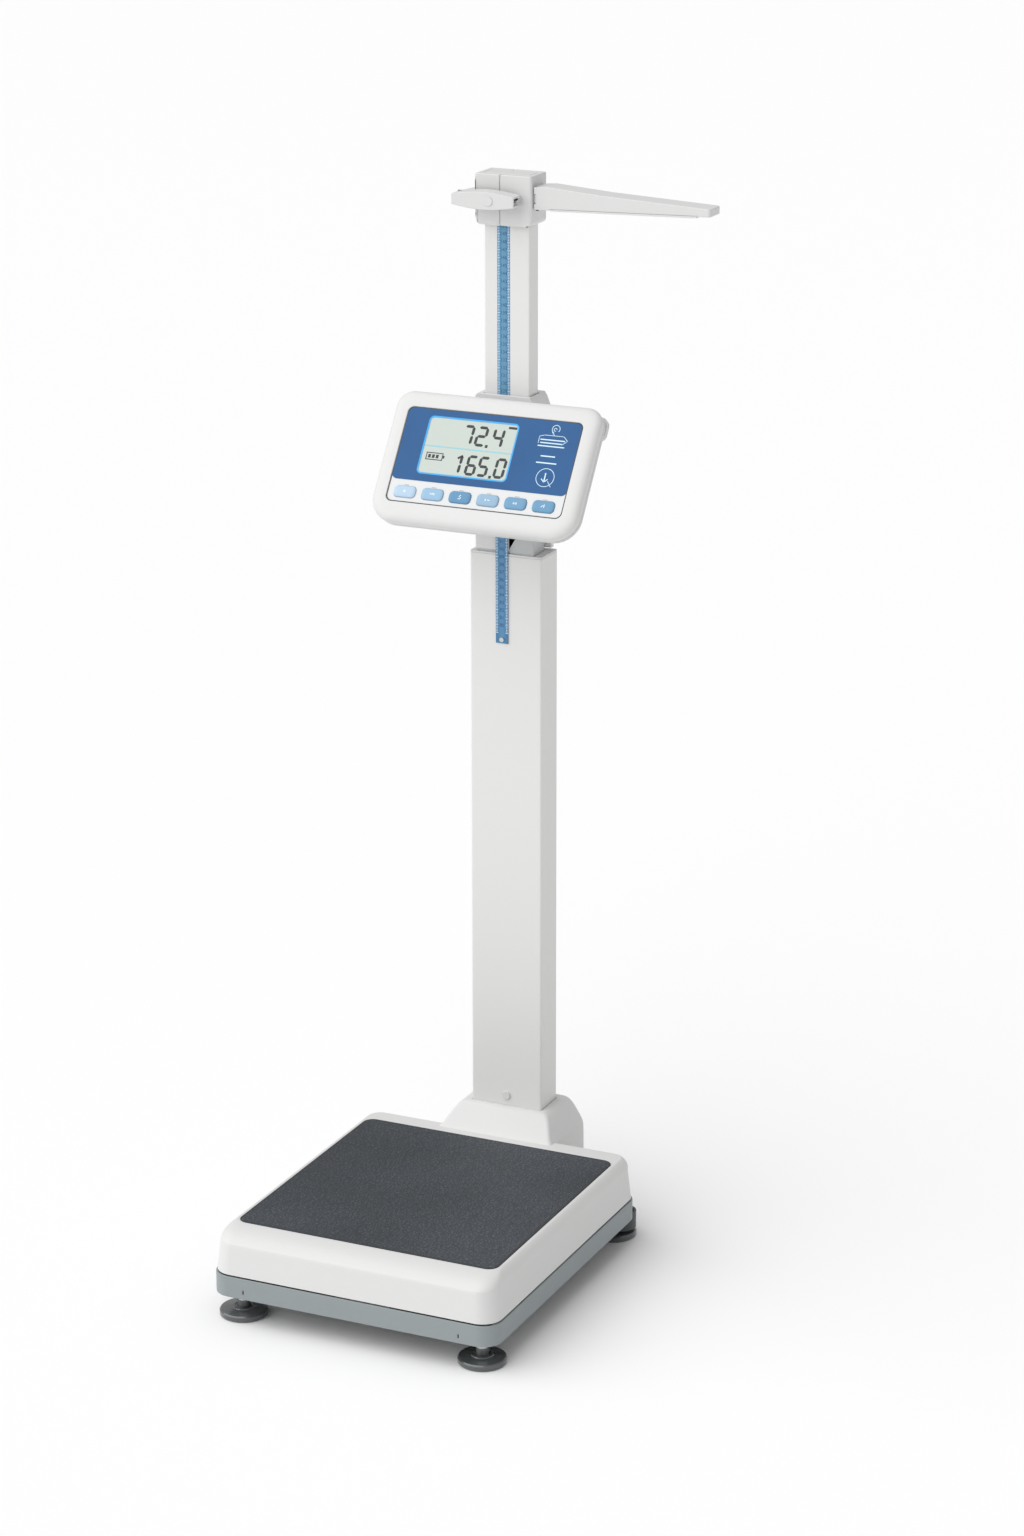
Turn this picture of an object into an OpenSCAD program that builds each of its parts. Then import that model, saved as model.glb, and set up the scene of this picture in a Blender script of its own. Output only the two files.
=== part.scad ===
// Digital column scale with a telescopic height rod.
// Design frame: x = 0 is the column's mid plane, y = 0 the platform's front edge, z = 0 the floor.
// at_origin() then moves everything so that the model's origin is the middle of its footprint.

/* [Base] */
// Width of the grey base frame
base_w = 392; // [380:1:400]
// Depth of the grey base frame, without the column's seat
base_d = 446; // [440:1:450]
// Height of the frame's lower edge above the floor
frame_z = 35; // [34:0.5:36]
// Height of the frame's rail
frame_h = 27.5; // [26:0.5:28]
// Radius of the base's corners seen from above
corner_r = 26; // [22:1:30]
// Open seam between the frame and the platform cover
seam = 2; // [1.8:0.1:2.2]
// Height of the platform's top face
platform_z = 119.5; // [119:0.5:120]

/* [Feet] */
// Sideways distance from the middle to a front foot
foot_front_x = 165; // [162:1:166]
// Distance of the front feet from the front edge
foot_front_y = 33; // [32:1:35]
// Sideways distance from the middle to a rear foot
foot_rear_x = 160; // [156:1:162]
// Distance of the rear feet from the front edge
foot_rear_y = 446; // [444:1:448]
// Radius of a foot's disc
pad_r = 30.5; // [28:0.5:30.5]

/* [Column] */
// Width of the column
column_w = 100; // [98:1:102]
// Depth of the column
column_d = 50; // [49:1:51]
// Distance from the front edge to the column's front face
column_y = 459; // [458:0.5:460]
// Height of the column's top
column_top = 900.5; // [890:0.5:901]
// Width of the mast
mast_w = 62; // [61:0.5:62]
// Depth of the mast
mast_d = 27; // [26:0.5:27]
// Height of the mast's top when it is lowered
mast_top = 1386; // [1386:1:1390]

/* [Display head] */
// Tilt of the display panel, back from upright
head_tilt = 34.4; // [30:0.1:35]
// Sideways offset of the head from the column's middle
head_x = 7; // [6:0.5:8]
// Distance from the front edge to the panel's middle
head_y = 390; // [385:0.5:390]
// Height of the panel's middle
head_z = 1050; // [1045:0.5:1050]
// Width of the head's housing
head_w = 282; // [278:1:286]

/* [Measuring arm] */
// Sideways reach of the measuring arm's tip
arm_tip_x = 276; // [260:1:290]
// Depth of the arm from front to back
arm_d = 33; // [32:0.5:34]

/* [Hidden] */
$fn = 48;
slack = 0.3;
running = 0.05;
wall = 3;
pan_travel = 1;

cover_z = frame_z + frame_h + seam;
cover_w = base_w - 3;
mat_w = 356;
mat_y0 = 41;
mat_y1 = 406;
mat_t = 2.5;
mat_z = platform_z - 1.5;
seat_w = 164;
seat_y1 = 530;
shroud_y1 = 533;
rail_x = 62;
seat_bolt_x = 60;

column_mid_y = column_y + column_d / 2;
column_foot = 62;
mast_mid_y = column_y + 19;
mast_foot = 180;
mast_front_y = mast_mid_y - mast_d / 2;
ruler_x = -4.5;
ruler_w = 17;
spigot_top = 170;
guide_w = 77;
guide_d = 34;
sleeve_z0 = 904;
sleeve_z1 = 1106;
sleeve_taper_z = 1076;
sleeve_w = 90;
sleeve_mid_x = 2;
sleeve_y1 = 506;

carriage_w = 77.2;
carriage_y0 = 453.5;
carriage_y1 = 500.5;
carriage_z0 = 1322;
carriage_z1 = 1386;
split_x = -4.5;
arm_pin_x = 43.4;
arm_pin_y = 460.9;
arm_pin_r = 1.8;
knuckle_r = 4.5;
arm_y0 = 456.4;
lever_pin_x = -44;
lever_pin_y = 492;
lever_y0 = 425;
lever_y1 = 447;
lever_x0 = -58;
lever_x1 = 27;
lever_mid_z = 1357;

panel_w = 240.4;
panel_v0 = -79.2;
panel_v1 = 48.7;
blue_v0 = -49;
lcd_u0 = -87.5;
lcd_u1 = 35;
lcd_v = 38.5;
head_v0 = -105;
head_v1 = 72;
shell_n = -28;
split_n = -15;
button_w = 29.6;
button_h = 15.4;
button_r = 5.4;
button_v = -65.4;
button_pitch = 38;
button_u0 = -96;
hinge_v = -5.5;
hinge_n = -59.5;
hinge_half = 30;

beam_w = 380;
beam_y0 = 428;
beam_y1 = 468;
beam_z = 13;
feet = [
  [-foot_front_x, foot_front_y], [foot_front_x, foot_front_y],
  [-foot_rear_x, foot_rear_y], [foot_rear_x, foot_rear_y]
];

mid_x = (arm_tip_x - base_w / 2) / 2;
mid_y = shroud_y1 / 2;

// ---- placing and shared shapes ----

module at_origin() {
  translate([-mid_x, -mid_y, 0]) children();
}

// Rectangle with round corners, centred
module rounded(w, d, r) {
  square([w - 2 * r, d], center = true);
  square([w, d - 2 * r], center = true);
  for (x = [-1, 1], y = [-1, 1])
    translate([x * (w / 2 - r), y * (d / 2 - r)]) circle(r);
}

// Upright block with round corners, from y0 to y1 and z0 to z1
module slab(w, y0, y1, z0, z1, r, x = 0) {
  translate([x, (y0 + y1) / 2, z0]) linear_extrude(z1 - z0) rounded(w, y1 - y0, r);
}

// Plain box between two corners
module box(a, b) {
  translate(a) cube(b - a);
}

// Thin level layer of a lofted moulding
module layer(z, w, y0, y1, r) {
  translate([0, (y0 + y1) / 2, z]) linear_extrude(0.02) rounded(w, y1 - y0, r, $fn = 64);
}

// Cylinders along x and along y
module rod_x(x0, x1, y, z, r) {
  translate([x0, y, z]) rotate([0, 90, 0]) cylinder(h = x1 - x0, r = r);
}
module rod_y(x, y0, y1, z, r) {
  translate([x, y1, z]) rotate([90, 0, 0]) cylinder(h = y1 - y0, r = r);
}

// ---- base frame ----

module tray_outline(inset) {
  translate([0, base_d / 2]) rounded(base_w - 2 * inset, base_d - 2 * inset, corner_r - inset);
  translate([0, (base_d + seat_y1) / 2 - 20])
    square([seat_w - 2 * inset, seat_y1 - base_d + 40 - 2 * inset], center = true);
}

module frame_tray() {
  at_origin() color("slategray") difference() {
    union() {
      translate([0, 0, frame_z]) linear_extrude(frame_h) difference() {
        tray_outline(0);
        tray_outline(wall);
      }
      for (s = [-1, 1]) translate([0, 0, frame_z]) linear_extrude(6) intersection() {
        tray_outline(1);
        translate([s * 170, 27]) square([54, 54], center = true);
      }
    }
    for (i = [0, 1]) translate([feet[i][0], feet[i][1], frame_z - 1]) cylinder(h = 8, r = 7.6);
    for (x = [-148, 148]) box([x - 0.7, -1, 41.5], [x + 0.7, wall + 1, 47]);
  }
}

module frame_rails() {
  at_origin() color("dimgray") difference() {
    union() {
      for (x = [-1, 1])
        box([x * rail_x - 15, wall, frame_z], [x * rail_x + 15, seat_y1 - wall, frame_z + 21]);
      for (s = [-1, 1])
        box([s * 112 - 38, foot_front_y - 12, frame_z + 6], [s * 112 + 38, foot_front_y + 12, frame_z + 18]);
      box([-47, 185, frame_z], [47, 265, frame_z + 21]);
    }
    for (y = [200, 220]) translate([0, y, frame_z - 1]) cylinder(h = 30, r = 4.2);
    for (x = [-1, 1], y = [478, 512]) translate([x * seat_bolt_x, y, frame_z - 1]) cylinder(h = 30, r = 4.2);
    for (x = [-1, 1]) translate([x * rail_x, 448, frame_z - 1]) cylinder(h = 12, r = 3.2);
  }
}

// Cross beam under the frame's rear edge, which carries the rear feet
module rear_beam() {
  at_origin() color("dimgray") difference() {
    union() {
      difference() {
        slab(beam_w, beam_y0, beam_y1, beam_z, frame_z, 19.9);
        slab(beam_w - 6, beam_y0 + 3, beam_y1 - 3, beam_z + 3, frame_z + 1, 16.9);
      }
      for (i = [2, 3])
        translate([feet[i][0], feet[i][1], beam_z]) cylinder(h = frame_z - beam_z - 0.5, r = 13);
      for (x = [-1, 1]) translate([x * rail_x, 448, beam_z + 2]) cylinder(h = frame_z - beam_z - 2, r = 8);
    }
    for (i = [2, 3]) translate([feet[i][0], feet[i][1], beam_z - 1]) {
      cylinder(h = 30, r = 7 + running);
      cylinder(h = 9.5, r = 9.4);
    }
    for (x = [-1, 1]) translate([x * rail_x, 448, beam_z - 1]) cylinder(h = 30, r = 3.2);
  }
}

module foot_nuts() {
  at_origin() color("silver") for (i = [0, 1]) translate([feet[i][0], feet[i][1], frame_z + 6]) difference() {
    cylinder(h = 12, r = 13, $fn = 6);
    translate([0, 0, -1]) cylinder(h = 14, r = 7 + running);
  }
}

module load_cell() {
  at_origin() color("lightgray") difference() {
    union() {
      box([-17, 190, frame_z + 21], [17, 232, frame_z + 27]);
      box([-15, 190, frame_z + 27], [15, 320, frame_z + 49]);
    }
    for (y = [240, 258]) box([-16, y, frame_z + 31], [16, y + 14, frame_z + 45]);
    for (y = [200, 220]) translate([0, y, frame_z + 20]) cylinder(h = 40, r = 4.2);
  }
}

module cell_bolts() {
  at_origin() color("silver") {
    for (y = [200, 220]) translate([0, y, frame_z + 4]) {
      cylinder(h = 45, r = 4);
      translate([0, 0, 45]) cylinder(h = 6, r = 6.5);
    }
    for (x = [-1, 1], y = [478, 512]) translate([x * seat_bolt_x, y, frame_z + 4]) {
      cylinder(h = 23, r = 4);
      translate([0, 0, 23]) cylinder(h = 6, r = 6.5);
    }
    for (x = [-1, 1]) translate([x * rail_x, 448, beam_z - 3]) {
      cylinder(h = 32, r = 3);
      cylinder(h = 3, r = 6);
    }
  }
}

// ---- feet: rubber-faced disc and threaded stem ----

module foot_pad(i) {
  at_origin() color([0.2, 0.22, 0.23]) translate([feet[i][0], feet[i][1], 0]) difference() {
    rotate_extrude() polygon([
      [0, 0], [pad_r - 2, 0], [pad_r, 2], [pad_r, 7], [pad_r - 1.5, 8.5],
      [14.5, 10.2], [14, 11.6], [11.5, 11.8], [11, 11.2], [8.6, 11.2], [8.4, 20], [0, 20]
    ]);
    translate([0, 0, 8]) cylinder(h = 20, r = 6);
  }
}

module foot_stem(i) {
  at_origin() color("silver") translate([feet[i][0], feet[i][1], 8]) {
    cylinder(h = 12.02, r = 6);
    translate([0, 0, 12.02]) cylinder(h = i < 2 ? 36 : 13.5, r = 7);
  }
}

module foot_pad_fl() { foot_pad(0); }
module foot_pad_fr() { foot_pad(1); }
module foot_pad_rl() { foot_pad(2); }
module foot_pad_rr() { foot_pad(3); }
module foot_stem_fl() { foot_stem(0); }
module foot_stem_fr() { foot_stem(1); }
module foot_stem_rl() { foot_stem(2); }
module foot_stem_rr() { foot_stem(3); }

// ---- platform ----

// Outer form of the cover, drawn in by t for its inner face
module cover_form(t) {
  hull() {
    layer(cover_z - (t > 0 ? 1 : 0), cover_w - 2 * t, 1.5 + t, base_d - 1.5 - t, corner_r - t);
    layer(104 - t, cover_w - 8 - 2 * t, 5 + t, base_d - 5 - t, corner_r - 2 - t);
    layer(113 - t, cover_w - 13 - 2 * t, 24.5 + t, base_d - 7.5 - t, corner_r - 4 - t);
    layer(117.5 - t, cover_w - 19 - 2 * t, 34.4 + t, base_d - 10 - t, 18);
    layer(platform_z - 0.02 - t, cover_w - 27 - 2 * t, 39 + t, base_d - 13.5 - t, 15);
  }
}

// Raised housing that carries the column's foot
module shroud_form(t) {
  hull() {
    layer(cover_z - (t > 0 ? 1 : 0), seat_w - 2 * t, 440 + t, shroud_y1 - t, 12);
    layer(116 - t, 164 - 2 * t, 421 + t, 531.5 - t, 11);
    layer(146 - t, 126 - 2 * t, 448 + t, 526 - t, 8);
    layer(149.5 - 0.02 - t, 120 - 2 * t, 451 + t, 523 - t, 6);
  }
}

module cover() {
  at_origin() color("whitesmoke") difference() {
    union() {
      cover_form(0);
      shroud_form(0);
    }
    cover_form(wall);
    shroud_form(wall);
    slab(mat_w + 0.6, mat_y0 - slack, mat_y1 + slack, mat_z, mat_z + 5, 14.3);
    slab(column_w + 1.6, column_y - 0.8, column_y + column_d + 0.8, 100, 200, 3.3);
  }
}

module load_plate() {
  at_origin() color("gray") difference() {
    union() {
      box([-150, 60, platform_z - wall - 6], [150, 395, platform_z - wall]);
      for (x = [-120, 120]) box([x - 10, 70, platform_z - 29], [x + 10, 385, platform_z - 8]);
      box([-18, 290, frame_z + 49.5 + pan_travel], [18, 318, platform_z - 8]);
    }
    for (y = [100, 350], x = [-60, 60]) translate([x, y, 100]) cylinder(h = 30, r = 25);
  }
}

module mat() {
  at_origin() color([0.27, 0.29, 0.31]) slab(mat_w, mat_y0, mat_y1, mat_z, mat_z + mat_t, 14);
}

// ---- column ----

module column_seat() {
  at_origin() color("gray") difference() {
    union() {
      box([-74, 458, frame_z + 21], [74, 524, frame_z + 27]);
      slab(column_w - 6.6, column_y + 3.3, column_y + column_d - 3.3, frame_z + 26, spigot_top, 2);
    }
    slab(column_w - 14, column_y + 7, column_y + column_d - 7, frame_z + 20, 200, 1);
    for (x = [-1, 1], y = [478, 512]) translate([x * seat_bolt_x, y, frame_z + 20]) cylinder(h = 8, r = 4.2);
    rod_y(0, column_y, column_y + 20, 163, 3.1);
  }
}

module column() {
  at_origin() color("whitesmoke") difference() {
    translate([0, column_mid_y, column_foot]) linear_extrude(column_top - 3 - column_foot) difference() {
      rounded(column_w, column_d, 2.5);
      rounded(column_w - 6, column_d - 6, 1.5);
    }
    rod_y(0, column_y - 1, column_y + 5, 163, 3.1);
    rod_y(ruler_x, column_y - 1, column_y + 5, 787, 1.7);
  }
}

module column_screw() {
  at_origin() color("whitesmoke") {
    rod_y(0, column_y - 2.2, column_y, 163, 5.6);
    rod_y(0, column_y, column_y + 12, 163, 3);
  }
}

module column_cap() {
  at_origin() color("whitesmoke") difference() {
    slab(column_w, column_y, column_y + column_d, column_top - 3, column_top, 2.5);
    slab(guide_w, mast_mid_y - guide_d / 2, mast_mid_y + guide_d / 2, 800, 1000, 2);
  }
}

module guide_block() {
  at_origin() color("gray") difference() {
    union() {
      slab(93.6, column_y + 3.2, column_y + column_d - 3.2, 830, column_top - 3, 2);
      slab(guide_w, mast_mid_y - guide_d / 2, mast_mid_y + guide_d / 2, column_top - 3.01, 960, 2);
    }
    slab(mast_w + 2 * slack, mast_front_y - slack, mast_front_y + mast_d + slack, 800, 1000, 2);
  }
}

module head_sleeve() {
  at_origin() color("whitesmoke") difference() {
    intersection() {
      slab(sleeve_w, column_y, sleeve_y1, sleeve_z0, sleeve_z1, 3, sleeve_mid_x);
      translate([0, sleeve_y1 + 1, 0]) rotate([90, 0, 0]) linear_extrude(sleeve_y1 - column_y + 2) polygon([
        [sleeve_mid_x - sleeve_w / 2 - 2, sleeve_z0 - 2],
        [sleeve_mid_x + sleeve_w / 2 + 2, sleeve_z0 - 2],
        [sleeve_mid_x + sleeve_w / 2 + 2, sleeve_taper_z - 5],
        [sleeve_mid_x + sleeve_w / 2 - 10, sleeve_z1 - 5],
        [sleeve_mid_x + sleeve_w / 2 - 14, sleeve_z1 + 1],
        [sleeve_mid_x - sleeve_w / 2 + 5, sleeve_z1 + 1],
        [sleeve_mid_x - sleeve_w / 2 - 2, sleeve_z1 - 7]
      ]);
    }
    slab(guide_w + 0.1, mast_mid_y - guide_d / 2, mast_mid_y + guide_d / 2, 800, 960.1, 2);
    slab(mast_w + 3, mast_front_y - 1.5, mast_front_y + mast_d + 1.5, 900, 1200, 2);
    box([4.5, column_y - 1, 900], [60, mast_mid_y + guide_d / 2 + 2, 960]);
  }
}

module ruler_lower() {
  at_origin() color("steelblue") difference() {
    box([ruler_x - ruler_w / 2, column_y - 1.6, 782], [ruler_x + ruler_w / 2, column_y, 1000]);
    rod_y(ruler_x, column_y - 3, column_y + 3, 787, 1.7);
  }
}

module ruler_screw() {
  at_origin() color("lightgray") {
    rod_y(ruler_x, column_y - 3, column_y - 1.6, 787, 3);
    rod_y(ruler_x, column_y - 1.6, column_y + 3.2, 787, 1.6);
  }
}

// ---- tilt joint of the display head ----

function head_point(v, n) = [
  head_x,
  head_y + v * sin(head_tilt) - n * cos(head_tilt),
  head_z + v * cos(head_tilt) + n * sin(head_tilt)
];
hinge_at = head_point(hinge_v, hinge_n);

module tilt_bracket() {
  y0 = hinge_at[1];
  z0 = hinge_at[2];
  at_origin() color("whitesmoke") difference() {
    union() {
      box([head_x - 34, column_y - 4, z0 - 14], [head_x - 26.2, column_y, z0 + 24]);
      box([head_x + 26.2, column_y - 4, z0 - 14], [head_x + 34, column_y, z0 + 24]);
      for (s = [-1, 1]) {
        box([head_x + s * 28 - 2, y0, z0 - 9], [head_x + s * 28 + 2, column_y - 3.9, z0 + 9]);
        rod_x(head_x + s * 28 - 2, head_x + s * 28 + 2, y0, z0, 9);
      }
    }
    rod_x(head_x - 40, head_x + 40, y0, z0, 4.02);
  }
}

module tilt_pin() {
  at_origin() color("silver") {
    rod_x(head_x - hinge_half, head_x + hinge_half, hinge_at[1], hinge_at[2], 4);
    rod_x(head_x + hinge_half, head_x + hinge_half + 3, hinge_at[1], hinge_at[2], 6.5);
  }
}

// ---- mast ----

module mast() {
  at_origin() color("whitesmoke") translate([0, mast_mid_y, mast_foot])
    linear_extrude(mast_top - 3 - mast_foot) difference() {
      rounded(mast_w, mast_d, 1.8);
      rounded(mast_w - 5.6, mast_d - 5.6, 1);
      translate([ruler_x, -mast_d / 2]) square([ruler_w + 0.3, 2.4], center = true);
    }
}

module mast_cap() {
  at_origin() color("whitesmoke") {
    slab(mast_w, mast_front_y, mast_front_y + mast_d, mast_top - 3, mast_top, 1.8);
    slab(mast_w - 6, mast_front_y + 3, mast_front_y + mast_d - 3, mast_top - 15, mast_top - 3, 0.8);
  }
}

module mast_glider() {
  at_origin() color("gray") difference() {
    slab(92.6, column_y + 3.7, column_y + column_d - 3.7, mast_foot - 4, mast_foot + 40, 2);
    slab(mast_w, mast_front_y, mast_front_y + mast_d, mast_foot, mast_foot + 50, 1.8);
  }
}

module ruler_upper() {
  at_origin() color("steelblue")
    box([ruler_x - ruler_w / 2, mast_front_y + 0.05, mast_foot + 44],
        [ruler_x + ruler_w / 2, mast_front_y + 1.15, mast_top - 4]);
}

// ---- carriage ----

// Full carriage block with rounded lower edges
module carriage_form() {
  intersection() {
    translate([0, carriage_y1, 0]) rotate([90, 0, 0]) linear_extrude(carriage_y1 - carriage_y0) union() {
      translate([0, (carriage_z0 + carriage_z1) / 2]) rounded(carriage_w, carriage_z1 - carriage_z0, 8);
      translate([-carriage_w / 2, carriage_z1 - 12]) square([carriage_w, 12]);
    }
    slab(carriage_w, carriage_y0, carriage_y1, carriage_z0 - 1, carriage_z1 + 1, 3.5);
  }
}

module carriage_bores() {
  back_y = mast_front_y + mast_d + slack;
  slab(mast_w + 2 * slack, mast_front_y - slack, back_y, carriage_z0 - 2, carriage_z1 + 2, 1.9);
  for (z = [1334, 1379], y = [459, 496]) {
    rod_x(-50, 20, y, z, 1.8);
    rod_x(-50, -carriage_w / 2 + 3, y, z, 3.2);
  }
  rod_y(15, carriage_y0 - 1, mast_front_y, lever_mid_z, 4.3);
}

module carriage_left() {
  at_origin() color("whitesmoke") difference() {
    union() {
      intersection() {
        carriage_form();
        box([-60, 400, 1300], [split_x - 0.3, 520, 1400]);
      }
      for (z = [1339, 1366]) {
        translate([lever_pin_x, lever_pin_y, z]) cylinder(h = 8, r = 5.5);
        box([lever_pin_x, lever_pin_y - 5.5, z], [-carriage_w / 2 + 1, lever_pin_y + 5.5, z + 8]);
      }
    }
    carriage_bores();
    translate([lever_pin_x, lever_pin_y, 1330]) cylinder(h = 60, r = 2.52);
  }
}

module carriage_right() {
  at_origin() color("whitesmoke") difference() {
    union() {
      intersection() {
        carriage_form();
        box([split_x + 0.3, 400, 1300], [60, 520, 1400]);
      }
      translate([arm_pin_x, arm_pin_y, 1352.4]) cylinder(h = 11.2, r = knuckle_r - 1);
      box([carriage_w / 2 - 1, arm_pin_y + slack, 1352.4], [arm_pin_x - slack, arm_pin_y + 6, 1363.6]);
      box([carriage_w / 2 - 1, arm_pin_y + 5, 1345], [arm_pin_x - slack, arm_y0 + arm_d, 1372]);
    }
    carriage_bores();
    translate([arm_pin_x, arm_pin_y, 1330]) cylinder(h = 60, r = arm_pin_r + 0.02);
  }
}

module carriage_screws() {
  at_origin() color("silver") for (z = [1334, 1379], y = [459, 496]) {
    rod_x(-36, 18, y, z, 1.75);
    rod_x(-38.4, -36, y, z, 3.1);
  }
}

module brake_pad() {
  at_origin() color("dimgray") rod_y(15, carriage_y0 - 0.4, mast_front_y - 0.3, lever_mid_z, 4.2);
}

module arm_pin() {
  at_origin() color([0.15, 0.15, 0.16])
    translate([arm_pin_x, arm_pin_y, 1343.2]) cylinder(h = 29.4, r = arm_pin_r);
}

module lever_pin() {
  at_origin() color("silver") translate([lever_pin_x, lever_pin_y, 1338]) cylinder(h = 37, r = 2.5);
}

// ---- brake lever ----

// Upper and lower edges of the lever's face, bowed like a shallow lens
function lever_top(x) = lever_mid_z + 6.5 + 4.6 * sin(180 * (x - lever_x0) / (lever_x1 - lever_x0));
function lever_low(x) = lever_mid_z - 7 - 4.4 * sin(180 * (x - lever_x0) / (lever_x1 - lever_x0));

module lever_face(t, x0, x1) {
  steps = 20;
  xs = [for (i = [0:steps]) x0 + (x1 - x0) * i / steps];
  polygon(concat(
    [for (x = xs) [x, lever_top(x) - t]],
    [for (i = [steps:-1:0]) [xs[i], lever_low(xs[i]) + t]]
  ));
}

module brake_lever() {
  at_origin() color("whitesmoke") difference() {
    union() {
      difference() {
        translate([0, lever_y1, 0]) rotate([90, 0, 0]) linear_extrude(lever_y1 - lever_y0)
          lever_face(0, lever_x0, lever_x1);
        translate([0, lever_y1 + 1, 0]) rotate([90, 0, 0]) linear_extrude(lever_y1 + 1 - lever_y0 - 3)
          lever_face(2.6, lever_x0 + 11, lever_x1 + 1);
      }
      translate([0, 0, lever_mid_z - 7]) linear_extrude(13.5) polygon([
        [lever_x0, lever_y1 - 1], [-47.2, lever_y1 - 1], [-40.2, 486], [-44, 497], [-50, 492]
      ]);
      translate([lever_pin_x, lever_pin_y, lever_mid_z - 7]) cylinder(h = 13.5, r = 5);
    }
    translate([lever_pin_x, lever_pin_y, 1330]) cylinder(h = 60, r = 2.5 + running);
  }
}

module lever_badge() {
  at_origin() color("whitesmoke") rod_y(-7.5, lever_y0 - 1, lever_y0, lever_mid_z, 6.2);
}

module lever_spring() {
  at_origin() color("silver") {
    rod_x(12, 26, 437, lever_mid_z, 1.1);
    translate([26, 437, lever_mid_z]) sphere(1.1);
    rod_y(26, 437, carriage_y0, lever_mid_z, 1.1);
  }
}

// ---- measuring arm ----

module arm() {
  fork_low = 1352.1;
  fork_top = 1363.9;
  at_origin() color("whitesmoke") difference() {
    intersection() {
      translate([0, arm_y0 + arm_d, 0]) rotate([90, 0, 0]) linear_extrude(arm_d) polygon([
        [arm_pin_x - 8, 1344.5], [arm_tip_x, 1351.9], [arm_tip_x, 1361.8],
        [133, 1368.6], [58, 1374.3], [arm_pin_x - 8, 1372.6]
      ]);
      union() {
        translate([arm_pin_x, arm_pin_y, 1300]) cylinder(h = 100, r = knuckle_r);
        difference() {
          slab(2 * (arm_tip_x - 150), arm_y0, arm_y0 + arm_d, 1300, 1400, 4, 150);
          box([0, 400, 1290], [arm_pin_x, 520, 1410]);
        }
      }
    }
    translate([arm_pin_x, arm_pin_y, fork_low]) cylinder(h = fork_top - fork_low, r = knuckle_r - 0.6);
    box([arm_pin_x - 6, arm_pin_y - 6, fork_low], [arm_pin_x + 0.01, arm_pin_y + 6, fork_top]);
    translate([arm_pin_x, arm_pin_y, 1330]) cylinder(h = 60, r = arm_pin_r + running);
    translate([0, arm_y0 + arm_d, 0]) rotate([90, 0, 0]) linear_extrude(arm_d + 2) polygon([
      [62, 1330], [arm_tip_x - 18, 1330], [arm_tip_x - 18, 1352.4], [62, 1346.6]
    ]);
  }
}

module arm_sole() {
  at_origin() color("whitesmoke") intersection() {
    translate([0, arm_y0 + arm_d - 0.6, 0]) rotate([90, 0, 0]) linear_extrude(arm_d - 1.2) polygon([
      [62.2, 1344.2], [arm_tip_x - 18.2, 1349.6], [arm_tip_x - 18.2, 1352.3], [62.2, 1346.5]
    ]);
    box([60, 400, 1300], [arm_tip_x, 520, 1400]);
  }
}

// ---- display head: local x across the panel, y up the panel, z out of its face ----

module at_head() {
  at_origin() translate([head_x, head_y, head_z]) rotate([90 - head_tilt, 0, 0]) children();
}

// Outline of the housing at one depth, with tighter corners at the top
module head_layer(n, inset) {
  top_r = 22 - inset / 2;
  low_r = 34 - inset / 2;
  half = head_w / 2 - inset;
  for (s = [-1, 1]) {
    translate([s * (half - top_r), head_v1 - inset - top_r, n]) cylinder(h = 0.02, r = top_r);
    translate([s * (half - low_r), head_v0 + inset + low_r, n]) cylinder(h = 0.02, r = low_r);
  }
}

module panel_box(w, v0, v1, n0, n1, r) {
  translate([0, (v0 + v1) / 2, n0]) linear_extrude(n1 - n0) rounded(w, v1 - v0, r);
}

module bezel() {
  at_head() color("whitesmoke") difference() {
    hull() {
      head_layer(split_n, 0.5);
      head_layer(-8, 0);
      head_layer(-3.5, 2);
      head_layer(-0.8, 7);
      head_layer(1.4, 15);
    }
    panel_box(panel_w + 0.6, panel_v0 - slack, panel_v1 + slack, -3, 5, 8.3);
    panel_box(panel_w - 6.8, panel_v0 + 3.4, panel_v1 - 3.4, -6, 0, 5);
    panel_box(head_w - 12, head_v0 + 16, head_v1 - 8, -20, -4.5, 12);
  }
}

module rear_shell() {
  at_head() color("gainsboro") difference() {
    union() {
      hull() {
        head_layer(split_n - 0.32, 0.8);
        head_layer(-22, 1);
        head_layer(shell_n, 6);
      }
      for (s = [-1, 1])
        translate([s * (head_w / 2 - 41), 54, -38]) linear_extrude(22) rounded(78, 30, 9);
      for (s = [-1, 1]) {
        translate([s * 18 - 4, hinge_v - 10, hinge_n]) cube([8, 20, shell_n - hinge_n + 1]);
        translate([s * 18 - 4, hinge_v, hinge_n]) rotate([0, 90, 0]) cylinder(h = 8, r = 10);
      }
    }
    panel_box(head_w - 14, head_v0 + 8, head_v1 - 8, -25.4, -10, 12);
    translate([-40, hinge_v, hinge_n]) rotate([0, 90, 0]) cylinder(h = 80, r = 4 + running);
    panel_box(90.6, -86.3, -45.7, -30, -25, 4.3);
    for (u = [-120, 120], v = [-70, 30]) translate([u, v, -30]) cylinder(h = 10, r = 1.9);
  }
}

module panel_plate() {
  at_head() color("white") difference() {
    panel_box(panel_w, panel_v0, panel_v1, -3, 0, 8);
    translate([(lcd_u0 + lcd_u1) / 2, 0, -4]) linear_extrude(5) rounded(lcd_u1 - lcd_u0, 2 * lcd_v, 5);
    for (i = [0:5]) translate([button_u0 + i * button_pitch, button_v, -4]) linear_extrude(5)
      rounded(button_w + 0.8, button_h + 0.8, button_r + 0.4);
  }
}

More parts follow.
